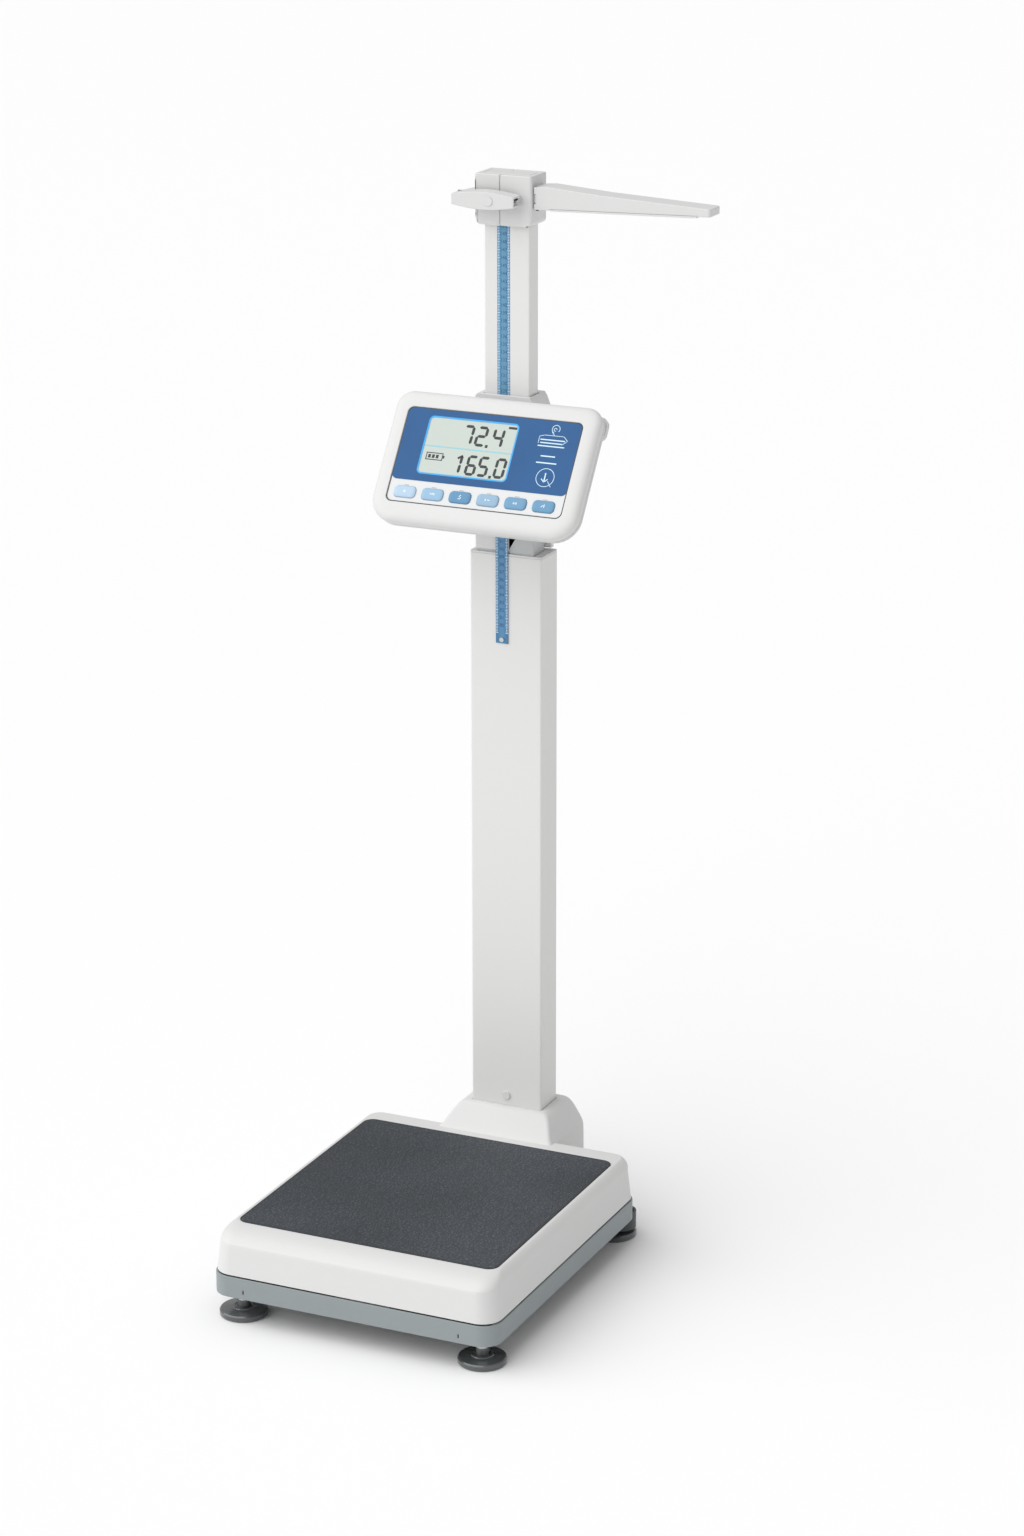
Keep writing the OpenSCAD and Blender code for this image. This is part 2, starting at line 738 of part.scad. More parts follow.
module panel_blue() {
  at_head() color([0.24, 0.44, 0.7]) difference() {
    translate([0, (blue_v0 + panel_v1) / 2, 0]) linear_extrude(0.4) rounded(panel_w, panel_v1 - blue_v0, 8);
    translate([(lcd_u0 + lcd_u1) / 2, 0, -1]) linear_extrude(3) rounded(lcd_u1 - lcd_u0, 2 * lcd_v, 5);
  }
}

module lcd_window() {
  at_head() color([0.8, 0.85, 0.82]) translate([(lcd_u0 + lcd_u1) / 2, 0, -2.4]) linear_extrude(2.3)
    rounded(lcd_u1 - lcd_u0 - 0.4, 2 * lcd_v - 0.4, 4.8);
}

module lcd_module() {
  at_head() color("darkseagreen") box([lcd_u0 - 4, -lcd_v - 4, -9], [lcd_u1 + 4, lcd_v + 4, -3.2]);
}

module circuit_board() {
  at_head() color("darkgreen") difference() {
    box([-118, -84, -13], [118, 52, -11.4]);
    for (u = [-110, 110], v = [-76, 44]) translate([u, v, -14]) cylinder(h = 4, r = 1.8);
  }
}

module battery_door() {
  at_head() color("gainsboro") panel_box(90, -86, -46, -28.2, -25.6, 4);
}

module shell_screws() {
  at_head() color("silver") for (u = [-120, 120], v = [-70, 30]) translate([u, v, -28]) {
    cylinder(h = 10, r = 1.8);
    translate([0, 0, -1.6]) cylinder(h = 1.6, r = 3.4);
  }
}

module button(i) {
  depths = [0.1, 0.3, 0.8, 0.35, 0.7, 0.8];
  shade = [0.84, 0.91, 0.97] - depths[i] * [0.46, 0.29, 0.14];
  at_head() color(shade) translate([button_u0 + i * button_pitch, button_v, 0]) {
    translate([0, 0, -3.5]) linear_extrude(5.3) rounded(button_w, button_h, button_r);
    translate([0, 0, -4.4]) linear_extrude(1.1) rounded(button_w + 3, button_h + 2.4, button_r + 1);
    translate([0, 0, -9.6]) cylinder(h = 6.2, r = 3);
  }
}

module button_1() { button(0); }
module button_2() { button(1); }
module button_3() { button(2); }
module button_4() { button(3); }
module button_5() { button(4); }
module button_6() { button(5); }

// ---- drawing ----

frame_tray();
frame_rails();
foot_nuts();
load_cell();
cell_bolts();
foot_pad_fl();
foot_pad_fr();
foot_pad_rl();
foot_pad_rr();
foot_stem_fl();
foot_stem_fr();
foot_stem_rl();
foot_stem_rr();
rear_beam();
cover();
load_plate();
mat();
column_seat();
column();
column_screw();
column_cap();
guide_block();
head_sleeve();
ruler_lower();
ruler_screw();
tilt_bracket();
tilt_pin();
mast();
mast_cap();
mast_glider();
ruler_upper();
carriage_left();
carriage_right();
carriage_screws();
brake_pad();
arm_pin();
lever_pin();
brake_lever();
lever_badge();
lever_spring();
arm();
arm_sole();
bezel();
rear_shell();
panel_plate();
panel_blue();
lcd_window();
lcd_module();
circuit_board();
battery_door();
shell_screws();
button_1();
button_2();
button_3();
button_4();
button_5();
button_6();
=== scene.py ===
"""Looks of the physician column scale: a Blender add-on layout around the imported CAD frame.

Lengths inside the builders are millimetres in the scale's own terms: x from the column's middle,
y from the platform's front edge, z from the floor. spot() turns them into the frame's metres.
"""

import math

import bmesh
import bpy
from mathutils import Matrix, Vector


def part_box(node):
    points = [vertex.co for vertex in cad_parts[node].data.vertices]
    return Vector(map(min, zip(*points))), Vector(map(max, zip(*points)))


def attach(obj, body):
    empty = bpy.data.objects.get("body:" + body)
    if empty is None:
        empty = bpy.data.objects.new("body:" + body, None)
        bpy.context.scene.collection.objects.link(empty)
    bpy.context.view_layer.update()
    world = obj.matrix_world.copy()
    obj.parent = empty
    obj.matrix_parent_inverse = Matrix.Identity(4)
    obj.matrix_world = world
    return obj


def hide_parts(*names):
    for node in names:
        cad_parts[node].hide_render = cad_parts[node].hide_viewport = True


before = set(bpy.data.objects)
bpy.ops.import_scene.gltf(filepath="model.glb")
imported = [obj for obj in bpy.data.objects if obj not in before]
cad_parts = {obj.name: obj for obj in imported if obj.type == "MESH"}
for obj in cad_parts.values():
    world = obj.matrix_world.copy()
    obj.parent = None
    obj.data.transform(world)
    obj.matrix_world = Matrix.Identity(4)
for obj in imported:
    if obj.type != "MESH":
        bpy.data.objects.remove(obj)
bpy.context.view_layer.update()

bl_info = {
    "name": "Column scale looks",
    "version": (1, 0, 0),
    "blender": (4, 5, 0),
    "location": "View3D > Sidebar > Column scale",
    "description": "Builds the visible surfaces of a physician column scale",
    "category": "Object",
}

MID_X = 40.0
MID_Y = 266.5
PANEL_TILT = math.radians(34.4)
PANEL_SPOT = (7.0, 390.0, 1050.0)
MATERIALS = {}

# sockets of the colour mix node
MIX_FACTOR, MIX_A, MIX_B, MIX_RESULT = 0, 6, 7, 2

# finishes, in metres where they are lengths
GRAIN_HEIGHT = 0.0004
ROUGHNESS_SWING = 0.12
SPECKLE_SCALE = 60.0
EMBOSS_SCALE = 215.0
EMBOSS_HEIGHT = 0.0008
MAT_BORDER = 0.0035
PIN_PLUG_Z = 1.350
FEET = ("fl", "fr", "rl", "rr")

# tape print, in metres
NUMBER_SIZE = 0.0066
NUMBER_RAISE = 0.00008
NUMBER_PITCH = 0.010
TICK_MIDDLE = 0.0017

# platform, in millimetres
SKIRT_Z = 64.5
MAT_HALF = 178.0
MAT_FRONT = 41.0
MAT_BACK = 406.0
MAT_CORNER = 14.0
MAT_GAP = 0.3
COVER_WALL = 2.6

# display head, in millimetres: levels out of its face, then places across and up it
FILM = (0.4, 0.46)
INK = (-0.12, 0.0)
SEAM_FRONT, SEAM_BACK = -14.6, -15.6
LCD_LEFT, LCD_RIGHT, LCD_HALF_HIGH = -87.3, 34.8, 38.3
KEY_FIRST, KEY_PITCH, KEY_V = -96, 38, -65.4
KEY_HALF_WIDE, KEY_HALF_HIGH = 14.8, 7.7


# ---- places -------------------------------------------------------------------------------

def spot(x, y, z):
    """A point of the scale, in millimetres, as a point of the frame in metres."""
    return Vector(((x - MID_X) / 1000, (y - MID_Y) / 1000, z / 1000))


def panel_spot(u, v, n):
    """A point on the display head: u across, v up the panel, n out of its face."""
    s, c = math.sin(PANEL_TILT), math.cos(PANEL_TILT)
    return spot(PANEL_SPOT[0] + u, PANEL_SPOT[1] + v * s - n * c, PANEL_SPOT[2] + v * c + n * s)


# ---- meshes -------------------------------------------------------------------------------

def piece_from(bm, name, material=None, smooth_angle=35.0):
    """Turns a bmesh into a linked object with smooth faces and sharp edges past an angle."""
    mesh = bpy.data.meshes.new(name)
    bm.to_mesh(mesh)
    bm.free()
    obj = linked_object(name, mesh)
    shade(mesh, smooth_angle)
    if material:
        mesh.materials.clear()
        mesh.materials.append(MATERIALS[material])
    return obj


def shade(mesh, angle):
    """Smooth faces, with edges sharp past an angle."""
    for face in mesh.polygons:
        face.use_smooth = True
    mesh.set_sharp_from_angle(angle=math.radians(angle))


def bake_modifiers(obj):
    """Replaces an object's mesh by the result of its modifiers."""
    graph = bpy.context.evaluated_depsgraph_get()
    graph.update()
    mesh = bpy.data.meshes.new_from_object(obj.evaluated_get(graph))
    mesh.name = obj.name
    obj.modifiers.clear()
    obj.data = mesh
    return obj


def round_edges(obj, width, segments=2, angle=38.0):
    """Rounds an object's sharp edges, in millimetres, and keeps its flats flat."""
    bevel = obj.modifiers.new("round", "BEVEL")
    bevel.width = width / 1000
    bevel.segments = segments
    bevel.limit_method = "ANGLE"
    bevel.angle_limit = math.radians(angle)
    bevel.use_clamp_overlap = False
    bevel.harden_normals = False
    bake_modifiers(obj)
    shade(obj.data, 50.0)
    settle_normals(obj)


def settle_normals(obj):
    """Large flats keep their own normal beside rounded edges."""
    weighted = obj.modifiers.new("flats", "WEIGHTED_NORMAL")
    weighted.keep_sharp = True
    weighted.weight = 80
    bake_modifiers(obj)


def combine(obj, tools, operation):
    """Cuts closed shapes from an object (DIFFERENCE) or unites them with it (UNION), and removes them."""
    for tool in tools:
        boolean = obj.modifiers.new("combine", "BOOLEAN")
        boolean.operation = operation
        boolean.solver = "EXACT"
        boolean.object = tool
    bake_modifiers(obj)
    for tool in tools:
        bpy.data.objects.remove(tool, do_unlink=True)


def linked_object(name, data):
    obj = bpy.data.objects.new(name, data)
    bpy.context.scene.collection.objects.link(obj)
    return obj


def copied_node(node, name):
    """A clean copy of a CAD node's surface, with its points merged and its flats joined."""
    bm = bmesh.new()
    bm.from_mesh(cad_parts[node].data)
    bmesh.ops.remove_doubles(bm, verts=bm.verts, dist=1e-5)
    bmesh.ops.dissolve_limit(bm, angle_limit=math.radians(0.6), verts=bm.verts, edges=bm.edges,
                             use_dissolve_boundaries=False)
    mesh = bpy.data.meshes.new(name)
    bm.to_mesh(mesh)
    bm.free()
    return linked_object(name, mesh)


def corner_ring(x0, x1, y0, y1, radii, per_corner=12):
    """Outline of a rectangle with four corner radii, anticlockwise from the corner at x1, y0."""
    ring = []
    corners = ((x1, y0, -90.0), (x1, y1, 0.0), (x0, y1, 90.0), (x0, y0, 180.0))
    for (cx, cy, start), r in zip(corners, radii):
        ox = cx - r if cx == x1 else cx + r
        oy = cy - r if cy == y1 else cy + r
        for step in range(per_corner + 1):
            a = math.radians(start + 90.0 * step / per_corner)
            ring.append((ox + r * math.cos(a), oy + r * math.sin(a)))
    return ring


def loft(rings, place=spot, cap_start=True, cap_end=True, closed_loop=False):
    """Skins rings of equal length. Each ring is a list of (a, b, c) handed to place()."""
    bm = bmesh.new()
    rows = [[bm.verts.new(place(*p)) for p in ring] for ring in rings]
    pairs = list(zip(rows, rows[1:]))
    if closed_loop:
        pairs.append((rows[-1], rows[0]))
    for low, high in pairs:
        for i in range(len(low)):
            j = (i + 1) % len(low)
            bm.faces.new((low[i], low[j], high[j], high[i]))
    if cap_start and not closed_loop:
        bm.faces.new(list(reversed(rows[0])))
    if cap_end and not closed_loop:
        bm.faces.new(rows[-1])
    bmesh.ops.recalc_face_normals(bm, faces=bm.faces)
    return bm


def flat_ring(points, level):
    return [(a, b, level) for a, b in points]


def prism(points, low, high, place=spot):
    """A closed prism over an outline of (a, b) points between two levels."""
    return loft([flat_ring(points, low), flat_ring(points, high)], place)


def merge_into(target, source):
    """Adds one bmesh's faces to another."""
    scratch = bpy.data.meshes.new("scratch")
    source.to_mesh(scratch)
    source.free()
    target.from_mesh(scratch)
    bpy.data.meshes.remove(scratch)


def rounded_ring(x0, x1, y0, y1, radius, per_corner, level):
    """Outline of a rectangle with one corner radius all round, at a level."""
    return flat_ring(corner_ring(x0, x1, y0, y1, [radius] * 4, per_corner), level)


def smooth_step(t):
    t = min(1.0, max(0.0, t))
    return t * t * (3 - 2 * t)


def rides(obj, body, replaced=()):
    """Says which body a piece moves with, which CAD nodes it stands for."""
    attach(obj, body)
    if replaced:
        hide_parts(*replaced)


# ---- shader groups and finishes -------------------------------------------------------------

def new_group(name, inputs, outputs):
    group = bpy.data.node_groups.new(name, "ShaderNodeTree")
    for label, kind, default in inputs:
        socket = group.interface.new_socket(name=label, in_out="INPUT", socket_type=kind)
        if default is not None:
            socket.default_value = default
    for label, kind in outputs:
        group.interface.new_socket(name=label, in_out="OUTPUT", socket_type=kind)
    return group, group.nodes.new("NodeGroupInput"), group.nodes.new("NodeGroupOutput")


def feed(tree, socket, value):
    """Links a socket to another, or sets it to a plain number or colour."""
    if isinstance(value, (int, float, tuple)):
        socket.default_value = value
    else:
        tree.links.new(value, socket)


def add_node(tree, kind, sockets, **settings):
    """Adds a node, sets it up, then feeds its inputs, each by name or number. Gives its outputs."""
    node = tree.nodes.new(kind)
    for key, value in settings.items():
        setattr(node, key, value)
    for key, value in sockets.items():
        feed(tree, node.inputs[key], value)
    return node.outputs


def noise(tree, coordinates, scale, detail, roughness):
    return add_node(tree, "ShaderNodeTexNoise", {
        "Vector": coordinates, "Scale": scale, "Detail": detail, "Roughness": roughness})["Fac"]


def arithmetic(tree, kind, a, b=0.0, clamp=False):
    return add_node(tree, "ShaderNodeMath", {0: a, 1: b}, operation=kind, use_clamp=clamp)[0]


def mix_colour(tree, factor, a, b, kind="MIX"):
    sockets = {MIX_FACTOR: factor, MIX_A: a, MIX_B: b}
    return add_node(tree, "ShaderNodeMix", sockets, data_type="RGBA", blend_type=kind)[MIX_RESULT]


def tinted(tree, colour, tint):
    """A colour multiplied by a tint, which lightens it where it is above one."""
    return mix_colour(tree, 1.0, colour, tint, "MULTIPLY")


def base_colour(material):
    """The socket that feeds a finish's base colour now."""
    return material.node_tree.nodes["Principled BSDF"].inputs["Base Color"].links[0].from_socket


def set_base_colour(material, socket):
    tree = material.node_tree
    tree.links.new(socket, tree.nodes["Principled BSDF"].inputs["Base Color"])


def split_point(tree, vector):
    """The x, y and z of a vector, as sockets."""
    return add_node(tree, "ShaderNodeSeparateXYZ", {0: vector})


def build_grain_group():
    """Fine surface grain: a height for bump and a slow light and dark variation."""
    group, start, end = new_group(
        "surface_grain",
        (("Coordinates", "NodeSocketVector", None), ("Fine", "NodeSocketFloat", 900.0),
         ("Broad", "NodeSocketFloat", 9.0), ("Variation", "NodeSocketFloat", 0.04),
         ("Colour", "NodeSocketColor", (0.8, 0.8, 0.8, 1.0))),
        (("Height", "NodeSocketFloat"), ("Colour", "NodeSocketColor"), ("Patch", "NodeSocketFloat")))
    fine = noise(group, start.outputs["Coordinates"], start.outputs["Fine"], 3.0, 0.6)
    broad = noise(group, start.outputs["Coordinates"], start.outputs["Broad"], 3.0, 0.55)
    centred = arithmetic(group, "SUBTRACT", broad, 0.5)
    swing = arithmetic(group, "MULTIPLY", centred, start.outputs["Variation"])
    level = arithmetic(group, "ADD", swing, 1.0)
    sockets = {0: start.outputs["Colour"], "Scale": level}
    varied = add_node(group, "ShaderNodeVectorMath", sockets, operation="SCALE")[0]
    group.links.new(fine, end.inputs["Height"])
    group.links.new(varied, end.inputs["Colour"])
    group.links.new(broad, end.inputs["Patch"])


def build_dust_group():
    """A faint film of dust on faces that look up."""
    group, start, end = new_group(
        "settled_dust",
        (("Coordinates", "NodeSocketVector", None), ("Amount", "NodeSocketFloat", 0.05),
         ("Colour", "NodeSocketColor", (0.5, 0.5, 0.5, 1.0)),
         ("Dust", "NodeSocketColor", (0.62, 0.60, 0.56, 1.0))),
        (("Colour", "NodeSocketColor"), ("Mask", "NodeSocketFloat")))
    geometry = group.nodes.new("ShaderNodeNewGeometry")
    facing = split_point(group, geometry.outputs["Normal"])["Z"]
    speckle = noise(group, start.outputs["Coordinates"], SPECKLE_SCALE, 5.0, 0.65)
    upward = arithmetic(group, "MULTIPLY", facing, speckle, clamp=True)
    mask = arithmetic(group, "MULTIPLY", upward, start.outputs["Amount"])
    dusty = mix_colour(group, mask, start.outputs["Colour"], start.outputs["Dust"])
    group.links.new(dusty, end.inputs["Colour"])
    group.links.new(mask, end.inputs["Mask"])


def finish(name, colour, roughness, fine=900.0, depth=0.02, variation=0.03, metallic=0.0, coat=0.0,
           dust=0.0, emission=None, broad=9.0, specular=0.5):
    """A surface finish with grain, slow colour variation and a little dust, on Object coordinates."""
    material = bpy.data.materials.new(name)
    material.use_nodes = True
    tree = material.node_tree
    shader = tree.nodes["Principled BSDF"]
    coordinates = tree.nodes.new("ShaderNodeTexCoord").outputs["Object"]
    grain = tree.nodes.new("ShaderNodeGroup")
    grain.node_tree = bpy.data.node_groups["surface_grain"]
    grain.inputs["Fine"].default_value = fine
    grain.inputs["Broad"].default_value = broad
    grain.inputs["Variation"].default_value = variation
    grain.inputs["Colour"].default_value = (*colour, 1.0)
    tree.links.new(coordinates, grain.inputs["Coordinates"])
    surface = grain.outputs["Colour"]
    if dust:
        film = tree.nodes.new("ShaderNodeGroup")
        film.node_tree = bpy.data.node_groups["settled_dust"]
        film.inputs["Amount"].default_value = dust
        tree.links.new(coordinates, film.inputs["Coordinates"])
        tree.links.new(surface, film.inputs["Colour"])
        surface = film.outputs["Colour"]
    tree.links.new(surface, shader.inputs["Base Color"])
    swing = arithmetic(tree, "MULTIPLY", grain.outputs["Patch"], ROUGHNESS_SWING)
    rough = arithmetic(tree, "ADD", swing, roughness - ROUGHNESS_SWING / 2)
    tree.links.new(rough, shader.inputs["Roughness"])
    bump = tree.nodes.new("ShaderNodeBump")
    bump.inputs["Distance"].default_value = GRAIN_HEIGHT
    bump.inputs["Strength"].default_value = depth
    tree.links.new(grain.outputs["Height"], bump.inputs["Height"])
    tree.links.new(bump.outputs["Normal"], shader.inputs["Normal"])
    shader.inputs["Metallic"].default_value = metallic
    shader.inputs["Coat Weight"].default_value = coat
    shader.inputs["Specular IOR Level"].default_value = specular
    if emission:
        shader.inputs["Emission Color"].default_value = (*emission[0], 1.0)
        shader.inputs["Emission Strength"].default_value = emission[1]
    MATERIALS[name] = material
    return material


def mat_finish(colour):
    """Charcoal rubber with an embossed cell texture, painted shade darkening the grooves between its cells,
    painted sheen as slow lighter patches and a darker plain border.
    """
    # Its large broad colour variation is painted sheen too: lighter and darker patches that stand in for
    # reflection.
    material = finish("mat_rubber", colour, 0.58, fine=1500.0, variation=0.45, broad=5.0, dust=0.02)
    tree = material.node_tree
    coordinates = tree.nodes["Texture Coordinate"].outputs["Object"]
    sockets = {"Scale": EMBOSS_SCALE, "Vector": coordinates}
    cells = add_node(tree, "ShaderNodeTexVoronoi", sockets, feature="DISTANCE_TO_EDGE")
    low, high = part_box("mat")
    middle = (-(low[0] + high[0]) / 2, -(low[1] + high[1]) / 2, 0)
    centred = add_node(tree, "ShaderNodeMapping", {"Location": middle, "Vector": coordinates})
    place = split_point(tree, centred[0])
    reach = []
    for axis in (0, 1):
        across = arithmetic(tree, "ABSOLUTE", place[axis])
        reach.append(arithmetic(tree, "SUBTRACT", across, (high[axis] - low[axis]) / 2 - MAT_BORDER))
    border = arithmetic(tree, "GREATER_THAN", arithmetic(tree, "MAXIMUM", *reach), 0.0)
    inside = arithmetic(tree, "SUBTRACT", 1.0, border)
    emboss = arithmetic(tree, "MULTIPLY", cells["Distance"], 3.0, clamp=True)
    height = arithmetic(tree, "MULTIPLY", emboss, inside)
    bump = tree.nodes["Bump"]
    fine = arithmetic(tree, "MULTIPLY", bump.inputs["Height"].links[0].from_socket, 0.5)
    tree.links.new(arithmetic(tree, "ADD", height, fine), bump.inputs["Height"])
    bump.inputs["Strength"].default_value = 0.9
    bump.inputs["Distance"].default_value = EMBOSS_HEIGHT
    plain = base_colour(material)
    # Painted sheen: slow noise lightens patches of the mat's colour, standing in for reflection.
    slow = arithmetic(tree, "SUBTRACT", noise(tree, coordinates, 4.2, 1.0, 0.4), 0.36)
    painted_sheen_mask = arithmetic(tree, "MULTIPLY", slow, 3.2, clamp=True)
    sheen = mix_colour(tree, painted_sheen_mask, plain, tinted(tree, plain, (1.55, 1.50, 1.46, 1.0)))
    # Painted shade: the colour is darkened in the grooves between the emboss cells, where shade falls.
    pit_shaded_colour = mix_colour(tree, emboss, tinted(tree, sheen, (0.36, 0.37, 0.40, 1.0)), sheen)
    edge = arithmetic(tree, "MULTIPLY", border, 0.65)
    set_base_colour(material, mix_colour(tree, edge, pit_shaded_colour, (0.022, 0.025, 0.028, 1.0)))


def tape_finish(name, edge, middle, centre_x, half):
    """Blue printed tape with painted shading across its width: lighter along its middle, darker towards its
    edges.
    """
    material = finish(name, edge, 0.34, fine=1200.0, depth=0.02, variation=0.10, coat=0.3, broad=60.0)
    tree = material.node_tree
    place = split_point(tree, tree.nodes["Texture Coordinate"].outputs["Object"])
    offset = arithmetic(tree, "ABSOLUTE", arithmetic(tree, "SUBTRACT", place["X"], centre_x))
    share = arithmetic(tree, "DIVIDE", offset, half, clamp=True)
    sockets = {"Value": share, "From Min": 0.15, "From Max": 0.75, "To Min": 1.0, "To Max": 0.0}
    # Painted shading: the edge blue blends into the paler middle blue across the tape's width.
    painted_shade_blend = add_node(tree, "ShaderNodeMapRange", sockets, interpolation_type="SMOOTHSTEP")[0]
    set_base_colour(material, mix_colour(tree, painted_shade_blend, base_colour(material), (*middle, 1.0)))


def pin_finish():
    """Blackened pin whose upper end is covered by a white plug."""
    material = finish("arm_pin_look", (0.020, 0.021, 0.023), 0.4, fine=500.0, depth=0.10, variation=0.2)
    tree = material.node_tree
    place = split_point(tree, tree.nodes["Texture Coordinate"].outputs["Object"])
    upper = arithmetic(tree, "GREATER_THAN", place["Z"], PIN_PLUG_Z)
    set_base_colour(material, mix_colour(tree, upper, base_colour(material), (0.74, 0.74, 0.735, 1.0)))


def wear(node, finish_name):
    """Gives a CAD node one of the finishes."""
    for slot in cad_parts[node].material_slots:
        slot.material = MATERIALS[finish_name]


# ---- settings -----------------------------------------------------------------------------

def colour_property(name, description, default):
    return bpy.props.FloatVectorProperty(
        name=name, description=description, subtype="COLOR", size=3, min=0.0, max=1.0, default=default)


class SCALE_PG_colours(bpy.types.PropertyGroup):
    white: colour_property("White mouldings", "Colour of the cover, head and arm", (0.67, 0.67, 0.665))
    column_white: colour_property("Column coat", "Colour of the column and mast", (0.73, 0.73, 0.72))
    frame_grey: colour_property("Frame", "Blue-grey coat of the base frame", (0.260, 0.292, 0.302))
    mat_charcoal: colour_property("Mat", "Charcoal of the platform mat", (0.044, 0.054, 0.066))
    rubber_black: colour_property("Feet", "Rubber of the feet", (0.060, 0.067, 0.071))
    panel_blue: colour_property("Panel", "Blue of the display panel", (0.028, 0.105, 0.265))
    # The tape's edge and middle blues are painted shading across its width, darker at the edges.
    tape_edge: colour_property("Tape edge", "Blue at the sides of the upper tape", (0.055, 0.220, 0.420))
    tape_middle: colour_property("Tape middle", "Paler blue along the upper tape", (0.110, 0.290, 0.440))


class SCALE_PG_sizes(bpy.types.PropertyGroup):
    edge_round: bpy.props.FloatProperty(
        name="Edge round", description="Scale of the moulded pieces' edge radii, which are in millimetres",
        default=1.0, min=0.1, max=3.0)
    tick_pitch: bpy.props.FloatProperty(
        name="Tick pitch", description="Distance between the tape's marks",
        default=0.002, min=0.001, max=0.01, subtype="DISTANCE", unit="LENGTH")
    key_crown: bpy.props.FloatProperty(
        name="Key crown", description="Rise of a key's middle above its edge, in millimetres",
        default=0.9, min=0.0, max=2.0)


# ---- operators ------------------------------------------------------------------------------

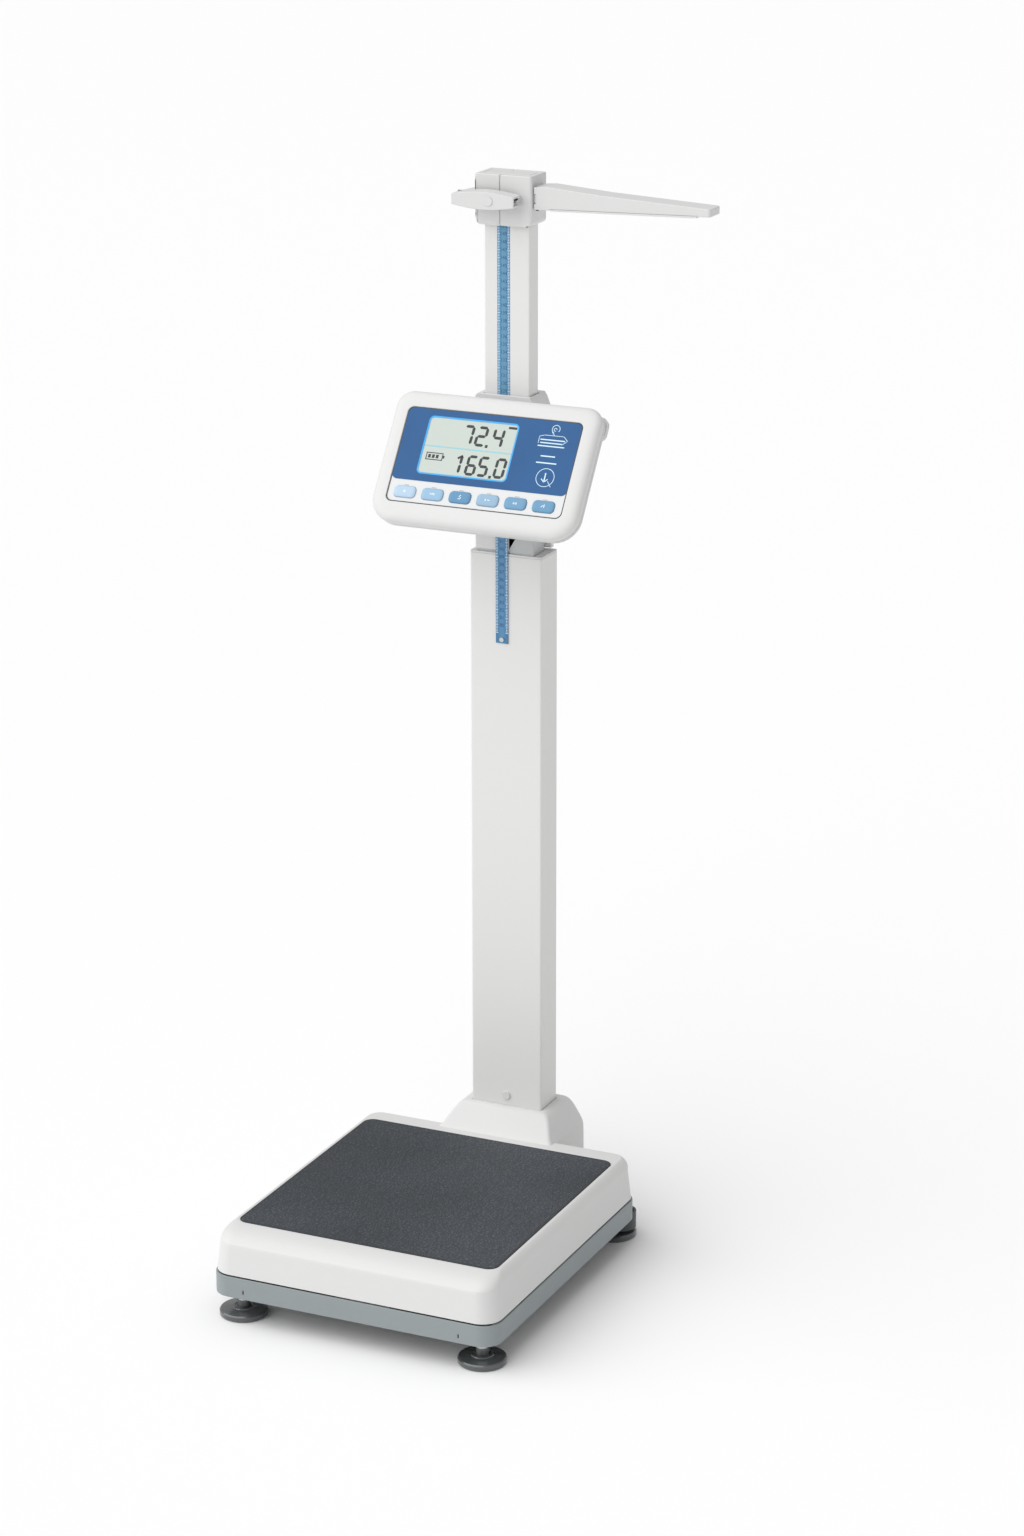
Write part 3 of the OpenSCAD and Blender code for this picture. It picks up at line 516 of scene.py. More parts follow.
class SCALE_OT_finishes(bpy.types.Operator):
    """Makes the finishes and gives every CAD node its own"""
    bl_idname = "scale.finishes"
    bl_label = "Finishes"

    def execute(self, context):
        tint = context.scene.scale_colours
        build_grain_group()
        build_dust_group()
        white = tuple(tint.white)
        # Name, colour, roughness, fine grain scale, grain depth, variation, then anything more.
        looks = (
            ("white_moulding", white, 0.42, 1100.0, 0.05, 0.015, {"dust": 0.02}),
            ("shell_moulding", tuple(0.93 * c for c in white), 0.5, 800.0, 0.10, 0.03, {}),
            ("column_coat", tuple(tint.column_white), 0.40, 700.0, 0.07, 0.015, {}),
            ("frame_coat", tuple(tint.frame_grey), 0.45, 900.0, 0.12, 0.06, {"dust": 0.03}),
            ("dark_coat", (0.035, 0.040, 0.043), 0.55, 600.0, 0.18, 0.15, {}),
            ("beam_coat", (0.060, 0.067, 0.072), 0.45, 600.0, 0.15, 0.12, {}),
            # A near-black finish for painted shade in the head's seam and around the panel recess.
            ("painted_shade_black", (0.055, 0.056, 0.060), 0.5, 900.0, 0.05, 0.1, {}),
            ("foot_rubber", tuple(tint.rubber_black), 0.26, 500.0, 0.08, 0.2,
             {"dust": 0.05, "coat": 0.6, "specular": 0.8}),
            ("plated_steel", (0.60, 0.60, 0.58), 0.30, 300.0, 0.10, 0.12, {"metallic": 1.0}),
            ("stem_steel", (0.80, 0.79, 0.77), 0.40, 300.0, 0.10, 0.10, {"metallic": 0.25}),
            ("chrome_wire", (0.75, 0.76, 0.78), 0.12, 200.0, 0.02, 0.05, {"metallic": 1.0}),
            ("cell_alloy", (0.62, 0.63, 0.64), 0.35, 500.0, 0.12, 0.08, {"metallic": 1.0}),
            ("guide_grey", (0.50, 0.515, 0.52), 0.5, 700.0, 0.12, 0.05, {}),
            ("pin_black", (0.020, 0.021, 0.023), 0.4, 500.0, 0.10, 0.2, {}),
            ("membrane", (0.70, 0.71, 0.715), 0.32, 1500.0, 0.02, 0.015, {"specular": 0.3}),
            ("panel_film", tuple(tint.panel_blue), 0.30, 1600.0, 0.02, 0.30,
             {"broad": 14.0, "specular": 0.18}),
            ("lcd_face", (0.545, 0.605, 0.560), 0.32, 2000.0, 0.01, 0.05, {"broad": 20.0, "specular": 0.15}),
            ("lcd_glow", (0.06, 0.32, 0.62), 0.3, 1500.0, 0.01, 0.05,
             {"emission": ((0.05, 0.32, 0.75), 0.30), "specular": 0.15}),
            ("lcd_divider", (0.30, 0.58, 0.66), 0.3, 1500.0, 0.01, 0.05, {"specular": 0.15}),
            ("segment_ink", (0.012, 0.016, 0.018), 0.4, 1500.0, 0.01, 0.2, {}),
            ("icon_white", (0.62, 0.80, 0.90), 0.35, 1500.0, 0.01, 0.05, {}),
            ("mark_grey", (0.30, 0.32, 0.34), 0.4, 1500.0, 0.01, 0.1, {}),
            ("key_mark", (0.86, 0.93, 0.98), 0.35, 1500.0, 0.01, 0.04, {}),
            ("board_green", (0.02, 0.09, 0.04), 0.35, 700.0, 0.06, 0.3, {"broad": 80.0}),
            ("tape_print", (0.74, 0.86, 0.93), 0.35, 1500.0, 0.01, 0.05, {}),
            ("tape_dark", (0.020, 0.085, 0.220), 0.35, 1500.0, 0.01, 0.1, {}),
        )
        for name, colour, roughness, fine, depth, variation, more in looks:
            finish(name, colour, roughness, fine=fine, depth=depth, variation=variation, **more)
        low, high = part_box("ruler_upper")
        middle, half = (low[0] + high[0]) / 2, (high[0] - low[0]) / 2
        tape_finish("tape_upper", tuple(tint.tape_edge), tuple(tint.tape_middle), middle, half)
        # The lower tape gets the same painted shading, with darker edges and a paler middle.
        tape_finish("tape_lower", (0.045, 0.180, 0.350), (0.075, 0.235, 0.430), middle, half)
        mat_finish(tuple(tint.mat_charcoal))
        pin_finish()
        shades = ((0.43, 0.58, 0.73), (0.29, 0.47, 0.65), (0.105, 0.27, 0.455),
                  (0.28, 0.44, 0.59), (0.145, 0.32, 0.50), (0.125, 0.30, 0.475))
        for index, shade_of_key in enumerate(shades, 1):
            finish("key_blue_%d" % index, shade_of_key, 0.34, fine=1200.0, depth=0.03, variation=0.03,
                   specular=0.4)
        plain = {
            "dark_coat": ("frame_rails", "column_seat"),
            "plated_steel": ("foot_nuts", "cell_bolts", "load_plate", "tilt_pin", "lever_pin", "shell_screws",
                             "carriage_screws", "ruler_screw"),
            "cell_alloy": ("load_cell",), "beam_coat": ("rear_beam",), "guide_grey": ("mast_glider",),
            "tape_lower": ("ruler_lower",), "tape_upper": ("ruler_upper",), "pin_black": ("brake_pad",),
            "chrome_wire": ("lever_spring",), "membrane": ("panel_plate",), "panel_film": ("panel_blue",),
            "lcd_face": ("lcd_module",), "board_green": ("circuit_board",), "arm_pin_look": ("arm_pin",),
            "shell_moulding": ("battery_door",), "stem_steel": tuple("foot_stem_" + end for end in FEET),
            "foot_rubber": tuple("foot_pad_" + end for end in FEET),
        }
        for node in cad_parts:
            wear(node, "white_moulding")
        for look, nodes in plain.items():
            for node in nodes:
                wear(node, look)
        return {"FINISHED"}


class SCALE_OT_rounded_castings(bpy.types.Operator):
    """Carries over the moulded and extruded CAD pieces with softly rounded edges"""
    bl_idname = "scale.rounded_castings"
    bl_label = "Rounded pieces"

    def execute(self, context):
        edge = context.scene.scale_sizes.edge_round
        pieces = (
            ("frame_tray", "base", 0.9, "frame_coat", "frame_grey"),
            ("column", "base", 0.6, "column_coat", "white_aluminium"),
            ("column_cap", "base", 0.8, "white_moulding", "white_plastic"),
            ("guide_block", "base", 0.6, "guide_grey", "grey_plastic"),
            ("head_sleeve", "base", 1.0, "white_moulding", "white_plastic"),
            ("column_screw", "base", 0.5, "white_moulding", "white_plastic"),
            ("tilt_bracket", "base", 0.8, "white_moulding", "white_plastic"),
            ("mast", "mast", 0.5, "column_coat", "white_aluminium"),
            ("mast_cap", "mast", 0.8, "white_moulding", "white_plastic"),
            ("carriage_left", "carriage", 1.3, "white_moulding", "white_plastic"),
            ("carriage_right", "carriage", 1.3, "white_moulding", "white_plastic"),
            ("brake_lever", "lever", 1.0, "white_moulding", "white_plastic"),
            ("lever_badge", "lever", 0.4, "white_moulding", "white_plastic"),
            ("arm", "arm", 1.2, "white_moulding", "white_plastic"),
            ("arm_sole", "arm", 0.5, "white_moulding", "white_plastic"),
        )
        for node, body, width, look, slot in pieces:
            obj = copied_node(node, node + "_skin")
            obj.data.materials.clear()
            obj.data.materials.append(MATERIALS[look])
            round_edges(obj, width * edge)
            rides(obj, body, (node,))
        return {"FINISHED"}


def cover_profile(t):
    """One level of the platform cover: height and insets of its side, front and rear, t from 0 to 1."""
    if t < 0.35:
        k = t / 0.35
        return 64.5 + 39.5 * k, 4.0 * k, 3.5 * k, 3.5 * k, 26 - 2 * k
    k = (t - 0.35) / 0.65
    a = k * math.pi / 2
    rise = math.sin(a)
    back = 1 - math.cos(a)
    z = 104 + 15.5 * (0.62 * rise + 0.38 * k)
    side = 4.0 + 9.5 * back
    front = 3.5 + 36.0 * (0.55 * k + 0.45 * k * k)
    rear = 3.5 + 8.5 * back
    return z, side, front, rear, 24 - 9 * k


class SCALE_OT_platform_cover(bpy.types.Operator):
    """Lofts the platform cover with the housing at the column's foot, hollow, with its mat recess"""
    bl_idname = "scale.platform_cover"
    bl_label = "Platform cover"

    def cover_form(self, wall, low_z):
        rings = []
        steps, first_sloped = 26, 8
        for i in range(steps + 1):
            z, side, front, rear, r = cover_profile(i / steps)
            level = low_z if i == 0 else z - (wall if i >= first_sloped else 0.0)
            x = 194.5 - side - wall
            y0, y1 = 1.5 + front + wall, 444.5 - rear - wall
            rings.append(rounded_ring(-x, x, y0, y1, max(4.0, r - wall), 14, level))
        return rings

    def shroud_form(self, wall, low_z):
        """The housing behind the platform: levels with insets of its sides, front and rear."""
        rings = []
        levels = ((SKIRT_Z, 0, 0, 0), (100, 0, 0, 0), (112, 0.4, 0.2, 0.3), (118, 2.0, 1.0, 1.0),
                  (124, 4.8, 5.0, 1.8), (130, 8.0, 10.5, 2.8), (136, 11.2, 16.5, 4.0), (141, 14.2, 21.6, 5.2),
                  (145, 17.2, 25.4, 6.8), (147.6, 20.2, 28.6, 9.0), (149.0, 23.4, 31.6, 11.8),
                  (149.5, 27.0, 34.5, 15.0))
        for i, (z, side, front, rear) in enumerate(levels):
            flare = 0.0 if z < 117 else max(0.0, 1 - (z - 118) / 9.0)
            x = 82 - side - wall
            y0 = 421 + front + wall
            y1 = 533 - rear - wall
            level = low_z if i == 0 else z - (wall if i > 3 else 0.0)
            ring = []
            for a, b in corner_ring(-x, x, y0, y1, [4, 9, 9, 4], 10):
                spread = 0.55 * (5.0 * flare * flare) * smooth_step((438 - b) / 14)
                outward = math.copysign(spread, a) * smooth_step((abs(a) - x + 12) / 12)
                ring.append((a + outward, b - spread * smooth_step((y0 + 8 - b) / 8)))
            rings.append(flat_ring(ring, level))
        return rings

    def execute(self, context):
        cover = piece_from(loft(self.cover_form(0.0, SKIRT_Z)), "platform_cover", "white_moulding")
        combine(cover, [piece_from(loft(self.shroud_form(0.0, SKIRT_Z)), "shroud_form")], "UNION")
        half = MAT_HALF + MAT_GAP
        recess = corner_ring(-half, half, MAT_FRONT - MAT_GAP, MAT_BACK + MAT_GAP,
                             [MAT_CORNER + MAT_GAP] * 4, 12)
        passage = corner_ring(-50.8, 50.8, 458.2, 509.8, [3.3] * 4, 6)
        combine(cover, [
            piece_from(loft(self.cover_form(COVER_WALL, 60.0)), "cover_hollow"),
            piece_from(loft(self.shroud_form(COVER_WALL, 60.0)), "shroud_hollow"),
            piece_from(prism(recess, 118.0, 130.0), "mat_recess"),
            piece_from(prism(passage, 100.0, 170.0), "column_passage")], "DIFFERENCE")
        shade(cover.data, 32.0)
        settle_normals(cover)
        rides(cover, "platform", ("cover",))
        return {"FINISHED"}


class SCALE_OT_mat(bpy.types.Operator):
    """Makes the rubber mat with a softly rounded rim"""
    bl_idname = "scale.mat"
    bl_label = "Mat"

    def execute(self, context):
        rings = []
        for z, inset in ((118.0, 0.0), (119.6, 0.0), (120.2, 0.25), (120.45, 0.7), (120.5, 1.3)):
            rings.append(rounded_ring(inset - MAT_HALF, MAT_HALF - inset, MAT_FRONT + inset, MAT_BACK - inset,
                                      MAT_CORNER - inset, 12, z))
        mat = piece_from(loft(rings), "platform_mat", "mat_rubber")
        settle_normals(mat)
        rides(mat, "platform", ("mat",))
        return {"FINISHED"}


class SCALE_OT_head_housing(bpy.types.Operator):
    """Lofts the display head's front bezel and rear shell"""
    bl_idname = "scale.head_housing"
    bl_label = "Head housing"

    def outline(self, inset, n):
        top, low = max(6.0, 22 - inset / 2), max(8.0, 34 - inset / 2)
        ring = corner_ring(-141 + inset, 141 - inset, -105 + inset, 72 - inset, [low, top, top, low], 14)
        return flat_ring(ring, n)

    def outlines(self, *steps):
        return [self.outline(inset, n) for inset, n in steps]

    def opening(self, inset, n, r=8.3):
        return rounded_ring(-120.5 + inset, 120.5 - inset, -79.5 + inset, 49 - inset, r, 14, n)

    def bezel(self):
        rings = self.outlines((6.0, SEAM_FRONT), (1.0, SEAM_FRONT), (0.5, SEAM_FRONT + 0.3))
        for i in range(15):
            a = math.radians(90.0 * i / 14)
            rings.append(self.outline(15.0 * (1 - math.cos(a)) ** 1.15, -8.5 + 9.7 * math.sin(a) ** 0.85))
        rings.append(self.outline(16.5, 1.25))
        for step in ((-1.4, 1.3, 9.4), (-0.5, 1.15, 8.7), (-0.1, 0.7), (0.0, 0.0), (0.0, -3.0),
                     (3.4, -3.0, 5.0), (3.4, -4.5, 5.0)):
            rings.append(self.opening(*step))
        rings.append(self.outline(8.0, -4.5))
        bezel = piece_from(loft(rings, panel_spot, closed_loop=True), "head_bezel", "white_moulding", 42.0)
        settle_normals(bezel)
        rides(bezel, "head", ("bezel",))

    def dark_lines(self):
        """Painted shade: a black sheet at the bottom of the seam between bezel and shell, and a dark line
        round the panel's recess.
        """
        seam = self.outlines((5.5, -14.7), (2.6, -14.7), (2.6, -15.5), (5.5, -15.5))
        # A black sheet set in the seam's gap stands in for the shade at its bottom.
        seam_shade_sheet = piece_from(loft(seam, panel_spot, closed_loop=True), "head_seam_shade", "painted_shade_black")
        rides(seam_shade_sheet, "head")
        # Painted shadow: a dark stroke along the panel opening's edge stands in for the shade of the bezel's
        # inner wall.
        line = bmesh.new()
        edge = corner_ring(-119.7, 119.7, -78.7, 48.2, [8.0] * 4, 10)
        stroke(line, edge + edge[:1], 1.0, (-0.05, 0.45))
        rides(piece_from(line, "panel_recess_shade", "painted_shade_black"), "head")

    def rear_shell(self):
        back = self.outlines((7.5, SEAM_BACK), (1.4, SEAM_BACK), (0.8, SEAM_BACK - 0.6), (0.8, -19.0))
        for i in range(1, 9):
            a = math.radians(90.0 * i / 8)
            back.append(self.outline(0.8 + 8.0 * (1 - math.cos(a)), -19.0 - 9.0 * math.sin(a)))
        back.append(self.outline(11.0, -28.0))
        shell = loft(back, panel_spot, cap_start=False)
        inner = loft(self.outlines((7.5, SEAM_BACK), (7.5, -25.4)), panel_spot, cap_start=False)
        bmesh.ops.reverse_faces(inner, faces=inner.faces)
        merge_into(shell, inner)
        for side in (-1, 1):
            pod = []
            for n, inset in ((-26.0, 0.0), (-34.0, 0.3), (-36.4, 1.2), (-37.6, 2.8), (-38.0, 5.0)):
                u, half = side * 100, 39 - inset
                pod.append(rounded_ring(u - half, u + half, 39 + inset, 69 - inset, 9 - inset / 2, 8, n))
            merge_into(shell, loft(pod, panel_spot))
            knuckle = []
            for i in range(41):
                a = math.radians(-90 + 180 * i / 40)
                knuckle.append((-5.5 + 10 * math.sin(a), -59.5 - 10 * math.cos(a)))
            knuckle = [(4.5, -27.0)] + list(reversed(knuckle)) + [(-15.5, -27.0)]
            across = (side * 18 - 4, side * 18 + 4)
            merge_into(shell, prism(knuckle, *across, lambda v, n, u: panel_spot(u, v, n)))
        bmesh.ops.remove_doubles(shell, verts=shell.verts, dist=1e-6)
        piece = piece_from(shell, "head_rear_shell", "shell_moulding", 42.0)
        settle_normals(piece)
        rides(piece, "head", ("rear_shell",))

    def execute(self, context):
        self.bezel()
        self.dark_lines()
        self.rear_shell()
        return {"FINISHED"}


SEGMENTS = {"0": "abcdef", "1": "bc", "2": "abged", "4": "fgbc", "5": "afgcd", "6": "afgedc", "7": "abc"}


def plate(bm, points, levels):
    """Adds a thin flat shape on the head's face."""
    merge_into(bm, prism(points, *levels, panel_spot))


def block(bm, left, low, right, high, levels, lean=0.0):
    """Adds a thin rectangle, its top shifted right by lean."""
    plate(bm, [(left, low), (right, low), (right + lean, high), (left + lean, high)], levels)


def digit_bars(bm, digit, left, low, width, height, bar, lean):
    """Adds one seven-segment digit as pointed bars, leaning right."""
    half = height / 2
    ends = {"a": ((0, height), (width, height)), "g": ((0, half), (width, half)), "d": ((0, 0), (width, 0)),
            "f": ((0, half), (0, height)), "e": ((0, 0), (0, half)),
            "b": ((width, half), (width, height)), "c": ((width, 0), (width, half))}
    for name in SEGMENTS[digit]:
        (ax, ay), (bx, by) = ends[name]
        length = math.hypot(bx - ax, by - ay)
        dx, dy = (bx - ax) / length, (by - ay) / length
        tip = bar * 0.06
        near, far = tip + bar / 2, length - tip - bar / 2
        outline = []
        for along, across in ((tip, 0), (near, -0.5), (far, -0.5),
                              (length - tip, 0), (far, 0.5), (near, 0.5)):
            px = ax + dx * along - dy * across * bar
            py = ay + dy * along + dx * across * bar
            outline.append((left + px + lean * py, low + py))
        plate(bm, outline, INK)


def ring_band(bm, cu, cv, radius, width, levels, start=0.0, sweep=360.0, steps=40):
    """Adds a thin ring or arc band on the head's face."""
    inner, outer = [], []
    for i in range(steps + 1):
        a = math.radians(start + sweep * i / steps)
        for side, edge in ((width / 2, outer), (-width / 2, inner)):
            edge.append((cu + (radius + side) * math.cos(a), cv + (radius + side) * math.sin(a)))
    for i in range(steps):
        plate(bm, [inner[i], outer[i], outer[i + 1], inner[i + 1]], levels)


def stroke(bm, points, width, levels):
    """Adds a thin line of straight strokes on the head's face."""
    for (ax, ay), (bx, by) in zip(points, points[1:]):
        length = math.hypot(bx - ax, by - ay) or 1.0
        dx, dy = (bx - ax) / length * width / 2, (by - ay) / length * width / 2
        plate(bm, [(ax - dx + dy, ay - dy - dx), (bx + dx + dy, by + dy - dx),
                   (bx + dx - dy, by + dy + dx), (ax - dx - dy, ay - dy + dx)], levels)


class SCALE_OT_display(bpy.types.Operator):
    """Makes the display: its lit face, glowing rim, digits and the plain icons on the panel"""
    bl_idname = "scale.display"
    bl_label = "Display"

    def screen(self):
        u0, u1, v = LCD_LEFT, LCD_RIGHT, LCD_HALF_HIGH
        face = prism(corner_ring(u0, u1, -v, v, [4.8] * 4, 8), -2.4, INK[0], panel_spot)
        rides(piece_from(face, "display_face", "lcd_face"), "head", ("lcd_window",))
        rings = []
        for inset, n in ((0.9, 0.02), (0.9, 0.42), (-1.0, 0.46), (-1.0, 0.02)):
            rings.append(rounded_ring(u0 + inset, u1 - inset, -v + inset, v - inset, 5.6 - inset, 8, n))
        rim = piece_from(loft(rings, panel_spot, closed_loop=True), "display_glow", "lcd_glow")
        rides(rim, "head")
        divider = bmesh.new()
        block(divider, u0 + 0.6, -1.9, u1 - 0.6, -0.2, (INK[0], INK[0] / 2))
        rides(piece_from(divider, "display_divider", "lcd_divider"), "head")

    def digits(self):
        ink = bmesh.new()
        lean, bar, high = 0.045, 3.7, 23.6
        for digit, left in (("7", -37.6), ("2", -18.8), ("4", 3.9)):
            digit_bars(ink, digit, left, 6.2, 11.8, high, bar, lean)
        block(ink, -4.6, 3.6, -1.0, 7.4, INK, 0.2)
        block(ink, 21.5, 31.6, 33.0, 34.6, INK)
        for digit, left in (("1", -43.2), ("6", -22.2), ("5", -5.8), ("0", 17.2)):
            digit_bars(ink, digit, left, -33.4, 11.2, high, bar, lean)
        stroke(ink, [(-35.4, -13.2), (-31.6, -10.8)], 3.0, INK)
        block(ink, 10.4, -36.2, 14.0, -32.4, INK, 0.2)
        stroke(ink, [(-80, -19), (-58, -19), (-58, -10), (-80, -10), (-80, -19)], 1.1, INK)
        for left in (-77.6, -72.2, -66.8):
            block(ink, left, -16.9, left + 3.6, -12.1, INK)
        block(ink, -57.2, -16.4, -55.2, -12.6, INK)
        rides(piece_from(ink, "display_digits", "segment_ink"), "head")

    def icons(self):
        icons = bmesh.new()
        ring_band(icons, 86.4, -27.3, 12.0, 0.8, FILM)
        stroke(icons, [(86.0, -33.0), (86.0, -22.0)], 1.6, FILM)
        stroke(icons, [(82.0, -29.5), (86.0, -33.6), (90.0, -29.5)], 1.2, FILM)
        stroke(icons, [(91.0, -32.0), (96.0, -38.5)], 0.8, FILM)
        ring_band(icons, 85.0, 37.5, 5.2, 0.8, FILM, -40.0, 290.0, 28)
        ring_band(icons, 84.4, 36.8, 1.9, 0.8, FILM, 0.0, 300.0, 16)
        stroke(icons, [(81.0, 33.4), (84.4, 29.4)], 0.8, FILM)
        tray = [(65.5, 17.5), (65.5, 26.5), (72.0, 28.5), (98.0, 28.5), (104.0, 23.0), (98.0, 17.5)]
        stroke(icons, tray, 0.7, FILM)
        for row, (left, right) in enumerate(((68.0, 100.0), (69.0, 97.0), (66.5, 101.0))):
            stroke(icons, [(left, 22.5 - row * 4.2), (right, 22.5 - row * 4.2)], 1.5, FILM)
        stroke(icons, [(74.0, 0.8), (92.0, 0.8)], 1.6, FILM)
        stroke(icons, [(70.0, -8.2), (96.0, -8.2)], 1.6, FILM)
        rides(piece_from(icons, "panel_icons", "icon_white"), "head")

    def execute(self, context):
        self.screen()
        self.digits()
        self.icons()
        dashes = bmesh.new()
        for i in range(6):
            u = KEY_FIRST + i * KEY_PITCH
            stroke(dashes, [(u - 2.8, -56.2), (u + 2.8, -56.2)], 0.8, (0.0, 0.06))
        rides(piece_from(dashes, "key_dashes", "mark_grey"), "head")
        return {"FINISHED"}


class SCALE_OT_keys(bpy.types.Operator):
    """Makes the six crowned keys and the small mark on each"""
    bl_idname = "scale.keys"
    bl_label = "Keys"

    def key_ring(self, u, inset, corner, n):
        wide, high = KEY_HALF_WIDE - inset, KEY_HALF_HIGH - inset
        return rounded_ring(u - wide, u + wide, KEY_V - high, KEY_V + high, corner, 8, n)

    def cap(self, u, crown):
        rings = []
        for n, inset in ((-3.2, 0.0), (0.7, 0.0), (1.15, 0.25), (1.5, 0.8)):
            rings.append(self.key_ring(u, inset, 5.4 - inset, n))
        for step in range(1, 6):
            k = step / 5
            n = 1.5 + crown * (1 - (1 - k) ** 2)
            rings.append(self.key_ring(u, 0.8 + 5.2 * k, max(1.4, 4.6 - 3.4 * k), n))
        return loft(rings, panel_spot)

    def mark(self, index, u, levels):
        """The plain sign on one key, from left to right."""
        v = KEY_V
        mark = bmesh.new()
        if index == 0:
            ring_band(mark, u, v, 1.1, 0.7, levels, steps=18)
        elif index == 1:
            stroke(mark, [(u - 2.6, v + 1), (u - 1, v - 1), (u + 0.6, v + 1)], 0.7, levels)
            ring_band(mark, u + 2.4, v, 1.1, 0.6, levels, steps=16)
        elif index == 2:
            stroke(mark, [(u - 1.4, v - 2.4), (u + 1.6, v - 2.4), (u + 1.6, v - 0.2)], 0.8, levels)
            stroke(mark, [(u + 1.4, v + 2.6), (u - 0.6, v + 0.4)], 0.8, levels)
        elif index == 3:
            stroke(mark, [(u - 2.4, v - 1), (u - 2.4, v + 1)], 0.9, levels)
            stroke(mark, [(u + 0.6, v), (u + 3.0, v)], 0.9, levels)
        elif index == 4:
            for w in (u - 1.5, u + 1.5):
                peak = [(w - 0.9, v - 1.2), (w, v + 1.2), (w + 0.9, v - 1.2), (w - 0.9, v - 1.2)]
                stroke(mark, peak, 0.6, levels)
        else:
            stroke(mark, [(u - 2.2, v - 1.4), (u - 0.4, v + 0.8)], 0.8, levels)
            stroke(mark, [(u + 1.4, v - 1.4), (u + 1.4, v + 2.0)], 0.9, levels)
        return mark

    def execute(self, context):
        crown = context.scene.scale_sizes.key_crown
        top = 1.5 + crown
        for i in range(6):
            u = KEY_FIRST + i * KEY_PITCH
            body, slot = "key_%d" % (i + 1), "button_blue_%d" % (i + 1)
            cap = piece_from(self.cap(u, crown), body + "_cap", "key_blue_%d" % (i + 1), 40.0)
            rides(cap, body, ("button_%d" % (i + 1),))
            mark = self.mark(i, u, (top - 0.05, top + 0.04))
            rides(piece_from(mark, body + "_mark", "key_mark"), body)
        return {"FINISHED"}


def tick_tree(material):
    """Geometry nodes: rows of tape marks, every fifth longer, realised and given their finish."""
    tree = bpy.data.node_groups.new("tape_marks", "GeometryNodeTree")
    tree.interface.new_socket(name="Geometry", in_out="OUTPUT", socket_type="NodeSocketGeometry")
    settings = (("Start", "Vector", (0, 0, 0)), ("Pitch", "Float", 0.002), ("Count", "Int", 10),
                ("Every", "Int", 5), ("Short", "Float", 0.0022), ("Long", "Float", 0.0034),
                ("Thick", "Float", 0.0007), ("Raise", "Float", 0.00012))
    for label, kind, default in settings:
        socket = tree.interface.new_socket(name=label, in_out="INPUT", socket_type="NodeSocket" + kind)
        socket.default_value = default
    start = tree.nodes.new("NodeGroupInput").outputs
    end = tree.nodes.new("NodeGroupOutput")
    offset = add_node(tree, "ShaderNodeCombineXYZ", {"Z": start["Pitch"]})[0]
    line = add_node(tree, "GeometryNodeMeshLine", {
        "Count": start["Count"], "Start Location": start["Start"], "Offset": offset})[0]
    size = add_node(tree, "ShaderNodeCombineXYZ", {"X": 1.0, "Y": start["Raise"], "Z": start["Thick"]})[0]
    mark = add_node(tree, "GeometryNodeMeshCube", {"Size": size})[0]
    index = add_node(tree, "GeometryNodeInputIndex", {})[0]
    rest = add_node(tree, "ShaderNodeMath", {0: index, 1: start["Every"]}, operation="MODULO")[0]
    sockets = {0: rest, 1: 0.5}
    is_long = add_node(tree, "FunctionNodeCompare", sockets, data_type="FLOAT", operation="LESS_THAN")[0]
    sockets = {"Switch": is_long, "False": start["Short"], "True": start["Long"]}
    width = add_node(tree, "GeometryNodeSwitch", sockets, input_type="FLOAT")[0]
    stretch = add_node(tree, "ShaderNodeCombineXYZ", {"X": width, "Y": 1.0, "Z": 1.0})[0]
    sockets = {"Points": line, "Instance": mark, "Scale": stretch}
    place = add_node(tree, "GeometryNodeInstanceOnPoints", sockets)[0]
    real = add_node(tree, "GeometryNodeRealizeInstances", {0: place})[0]
    paint = tree.nodes.new("GeometryNodeSetMaterial")
    paint.inputs["Material"].default_value = material
    tree.links.new(real, paint.inputs["Geometry"])
    tree.links.new(paint.outputs[0], end.inputs[0])
    return tree


def grown(name, tree, values):
    """Runs a geometry node tree on an empty mesh and keeps the result as a plain mesh."""
    obj = linked_object(name, bpy.data.meshes.new(name))
    modifier = obj.modifiers.new("grow", "NODES")
    modifier.node_group = tree
    for item in tree.interface.items_tree:
        if item.item_type == "SOCKET" and item.in_out == "INPUT" and item.name in values:
            modifier[item.identifier] = values[item.name]
    return bake_modifiers(obj)


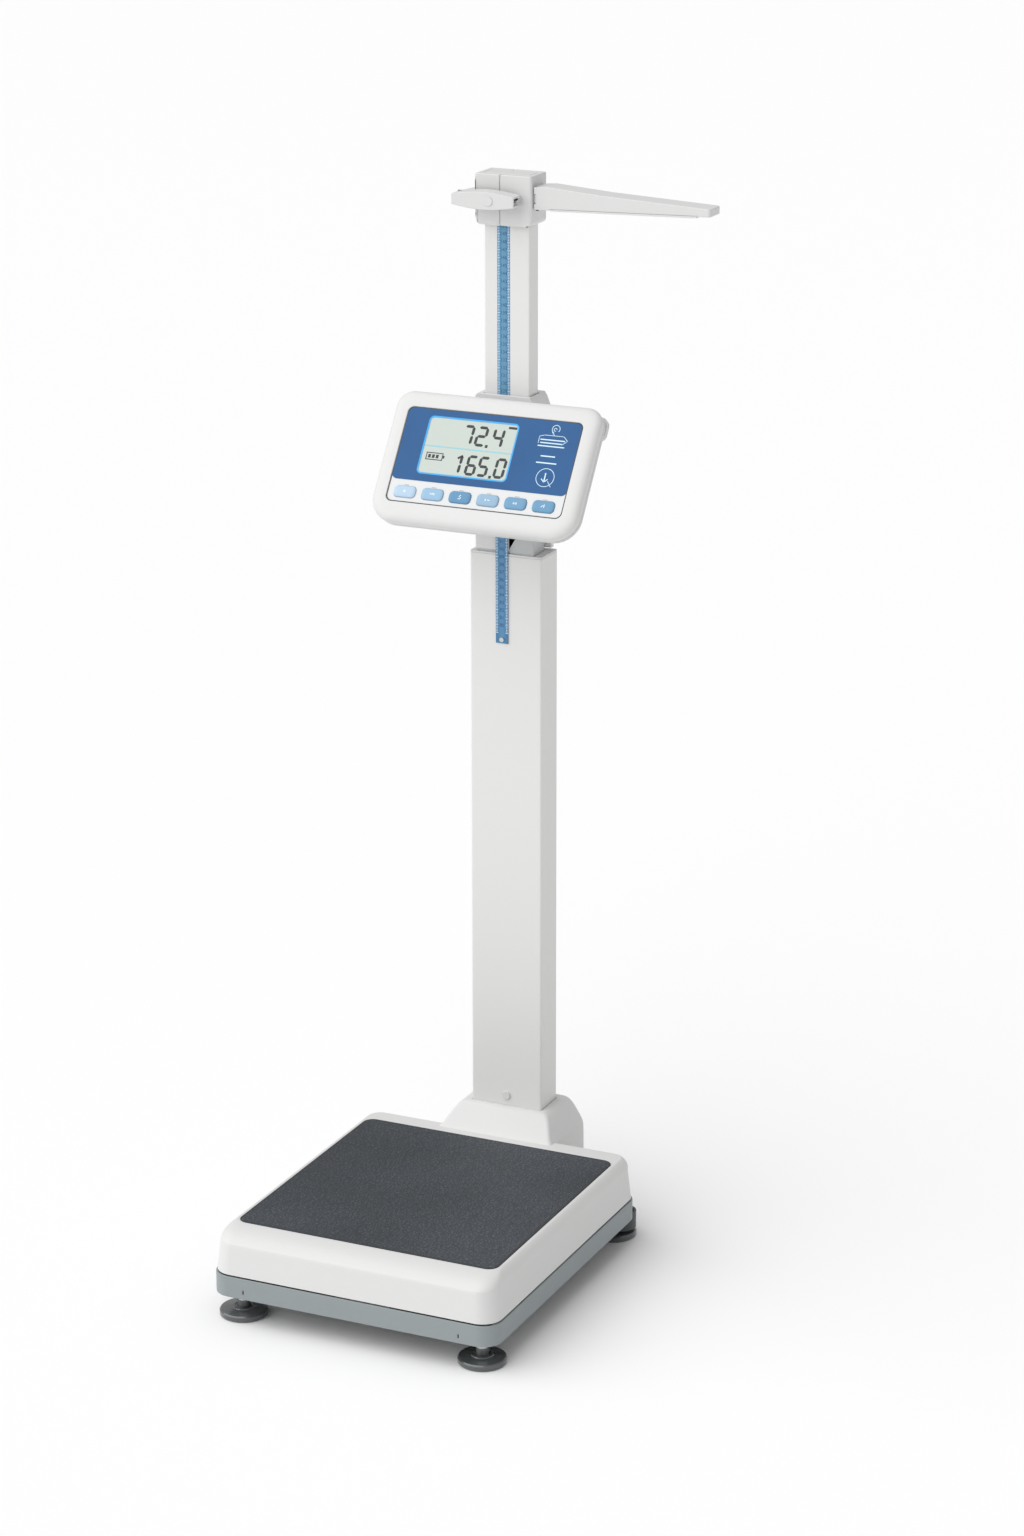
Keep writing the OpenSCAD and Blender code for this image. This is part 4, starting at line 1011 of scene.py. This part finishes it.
class SCALE_OT_tapes(bpy.types.Operator):
    """Prints marks and numbers on the two lengths of measuring tape"""
    bl_idname = "scale.tapes"
    bl_label = "Tape marks"

    def number(self, value, middle, front, z):
        """One number as a flat mesh facing the reader."""
        curve = bpy.data.curves.new("number", "FONT")
        curve.body = str(value)
        curve.size = NUMBER_SIZE
        curve.align_x = "CENTER"
        curve.align_y = "CENTER"
        holder = linked_object("number", curve)
        graph = bpy.context.evaluated_depsgraph_get()
        flat = bpy.data.meshes.new_from_object(holder.evaluated_get(graph))
        piece = bmesh.new()
        piece.from_mesh(flat)
        for vert in piece.verts:
            vert.co = Vector((middle + vert.co.x, front - NUMBER_RAISE, z + vert.co.y))
        bmesh.ops.recalc_face_normals(piece, faces=piece.faces)
        for face in piece.faces:
            if face.normal.y > 0:
                face.normal_flip()
        bpy.data.objects.remove(holder, do_unlink=True)
        bpy.data.curves.remove(curve)
        bpy.data.meshes.remove(flat)
        return piece

    def execute(self, context):
        pitch = context.scene.scale_sizes.tick_pitch
        tree = tick_tree(MATERIALS["tape_print"])
        tapes = (("ruler_upper", "mast", 0.930, 1.380, 112, "upper"),
                 ("ruler_lower", "base", 0.796, 0.998, 80, "lower"))
        for node, body, low_z, high_z, value, label in tapes:
            low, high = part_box(node)
            for side, x in (("left", low[0] + TICK_MIDDLE), ("right", high[0] - TICK_MIDDLE)):
                ticks = grown("tape_%s_%s_marks" % (label, side), tree, {
                    "Start": (x, low[1] - 0.00002, low_z), "Pitch": pitch, "Every": 5,
                    "Count": int((high_z - low_z) / pitch), "Short": 0.0022, "Long": 0.0034,
                    "Thick": 0.0007, "Raise": 0.00012})
                rides(ticks, body)
            parts = bmesh.new()
            z = low_z + NUMBER_PITCH
            while z < high_z - 0.006:
                merge_into(parts, self.number(value, (low[0] + high[0]) / 2, low[1], z))
                value += 1
                z += NUMBER_PITCH
            rides(piece_from(parts, "tape_%s_numbers" % label, "tape_dark"), body)
        return {"FINISHED"}


class SCALE_OT_stage(bpy.types.Operator):
    """Sets the pale floor, the soft studio lights and the camera"""
    bl_idname = "scale.stage"
    bl_label = "Stage"

    def floor(self):
        sheet = bmesh.new()
        bmesh.ops.create_grid(sheet, x_segments=2, y_segments=2, size=40.0)
        floor = piece_from(sheet, "studio_floor")
        paper = bpy.data.materials.new("floor_paper")
        paper.use_nodes = True
        shader = paper.node_tree.nodes["Principled BSDF"]
        shader.inputs["Base Color"].default_value = (0.94, 0.94, 0.94, 1.0)
        shader.inputs["Roughness"].default_value = 0.9
        shader.inputs["Specular IOR Level"].default_value = 0.1
        floor.data.materials.append(paper)

    def lights(self, scene):
        """Plain white room light, a white backdrop for the camera alone, and one wide soft sun."""
        world = bpy.data.worlds.new("studio")
        world.use_nodes = True
        tree = world.node_tree
        room = tree.nodes["Background"]
        room.inputs["Color"].default_value = (1.0, 1.0, 1.0, 1.0)
        room.inputs["Strength"].default_value = 0.52
        backdrop = tree.nodes.new("ShaderNodeBackground")
        backdrop.inputs["Color"].default_value = (1.0, 1.0, 1.0, 1.0)
        path = tree.nodes.new("ShaderNodeLightPath")
        mix = tree.nodes.new("ShaderNodeMixShader")
        tree.links.new(path.outputs["Is Camera Ray"], mix.inputs[0])
        tree.links.new(room.outputs[0], mix.inputs[1])
        tree.links.new(backdrop.outputs[0], mix.inputs[2])
        tree.links.new(mix.outputs[0], tree.nodes["World Output"].inputs["Surface"])
        scene.world = world
        scene.view_settings.view_transform = "Standard"
        sun = bpy.data.lights.new("window_sun", "SUN")
        sun.energy = 2.3
        sun.angle = math.radians(85)
        holder = linked_object("window_sun", sun)
        holder.rotation_euler = Vector((0.46, 0.50, -0.74)).to_track_quat("-Z", "Y").to_euler()

    def execute(self, context):
        self.floor()
        self.lights(context.scene)
        camera = bpy.data.cameras.new("camera")
        camera.lens = 95.5
        camera.sensor_width = 36.0
        camera.sensor_fit = "AUTO"
        camera.shift_x = -0.0119
        camera.shift_y = -0.10
        camera.clip_end = 200.0
        holder = linked_object("camera", camera)
        holder.location = spot(2111.6, -4082.1, 2207.6)
        holder.rotation_euler = (math.radians(74.518), 0, math.radians(24.578))
        context.scene.camera = holder
        return {"FINISHED"}


class SCALE_PT_panel(bpy.types.Panel):
    """Lists the scale's settings and builders"""
    bl_label = "Column scale"
    bl_idname = "SCALE_PT_panel"
    bl_space_type = "VIEW_3D"
    bl_region_type = "UI"
    bl_category = "Column scale"

    def draw(self, context):
        for group in (context.scene.scale_colours, context.scene.scale_sizes):
            for key in group.__annotations__:
                self.layout.prop(group, key)
        for operator in OPERATORS:
            self.layout.operator(operator.bl_idname)


OPERATORS = (SCALE_OT_stage, SCALE_OT_finishes, SCALE_OT_rounded_castings, SCALE_OT_platform_cover,
             SCALE_OT_mat, SCALE_OT_head_housing, SCALE_OT_display, SCALE_OT_keys, SCALE_OT_tapes)
CLASSES = (SCALE_PG_colours, SCALE_PG_sizes) + OPERATORS + (SCALE_PT_panel,)


def register():
    for cls in CLASSES:
        bpy.utils.register_class(cls)
    bpy.types.Scene.scale_colours = bpy.props.PointerProperty(type=SCALE_PG_colours)
    bpy.types.Scene.scale_sizes = bpy.props.PointerProperty(type=SCALE_PG_sizes)


def unregister():
    del bpy.types.Scene.scale_sizes
    del bpy.types.Scene.scale_colours
    for cls in reversed(CLASSES):
        bpy.utils.unregister_class(cls)


def main():
    register()
    for operator in OPERATORS:
        getattr(bpy.ops.scale, operator.bl_idname.split(".")[1])()


if __name__ == "__main__":
    main()
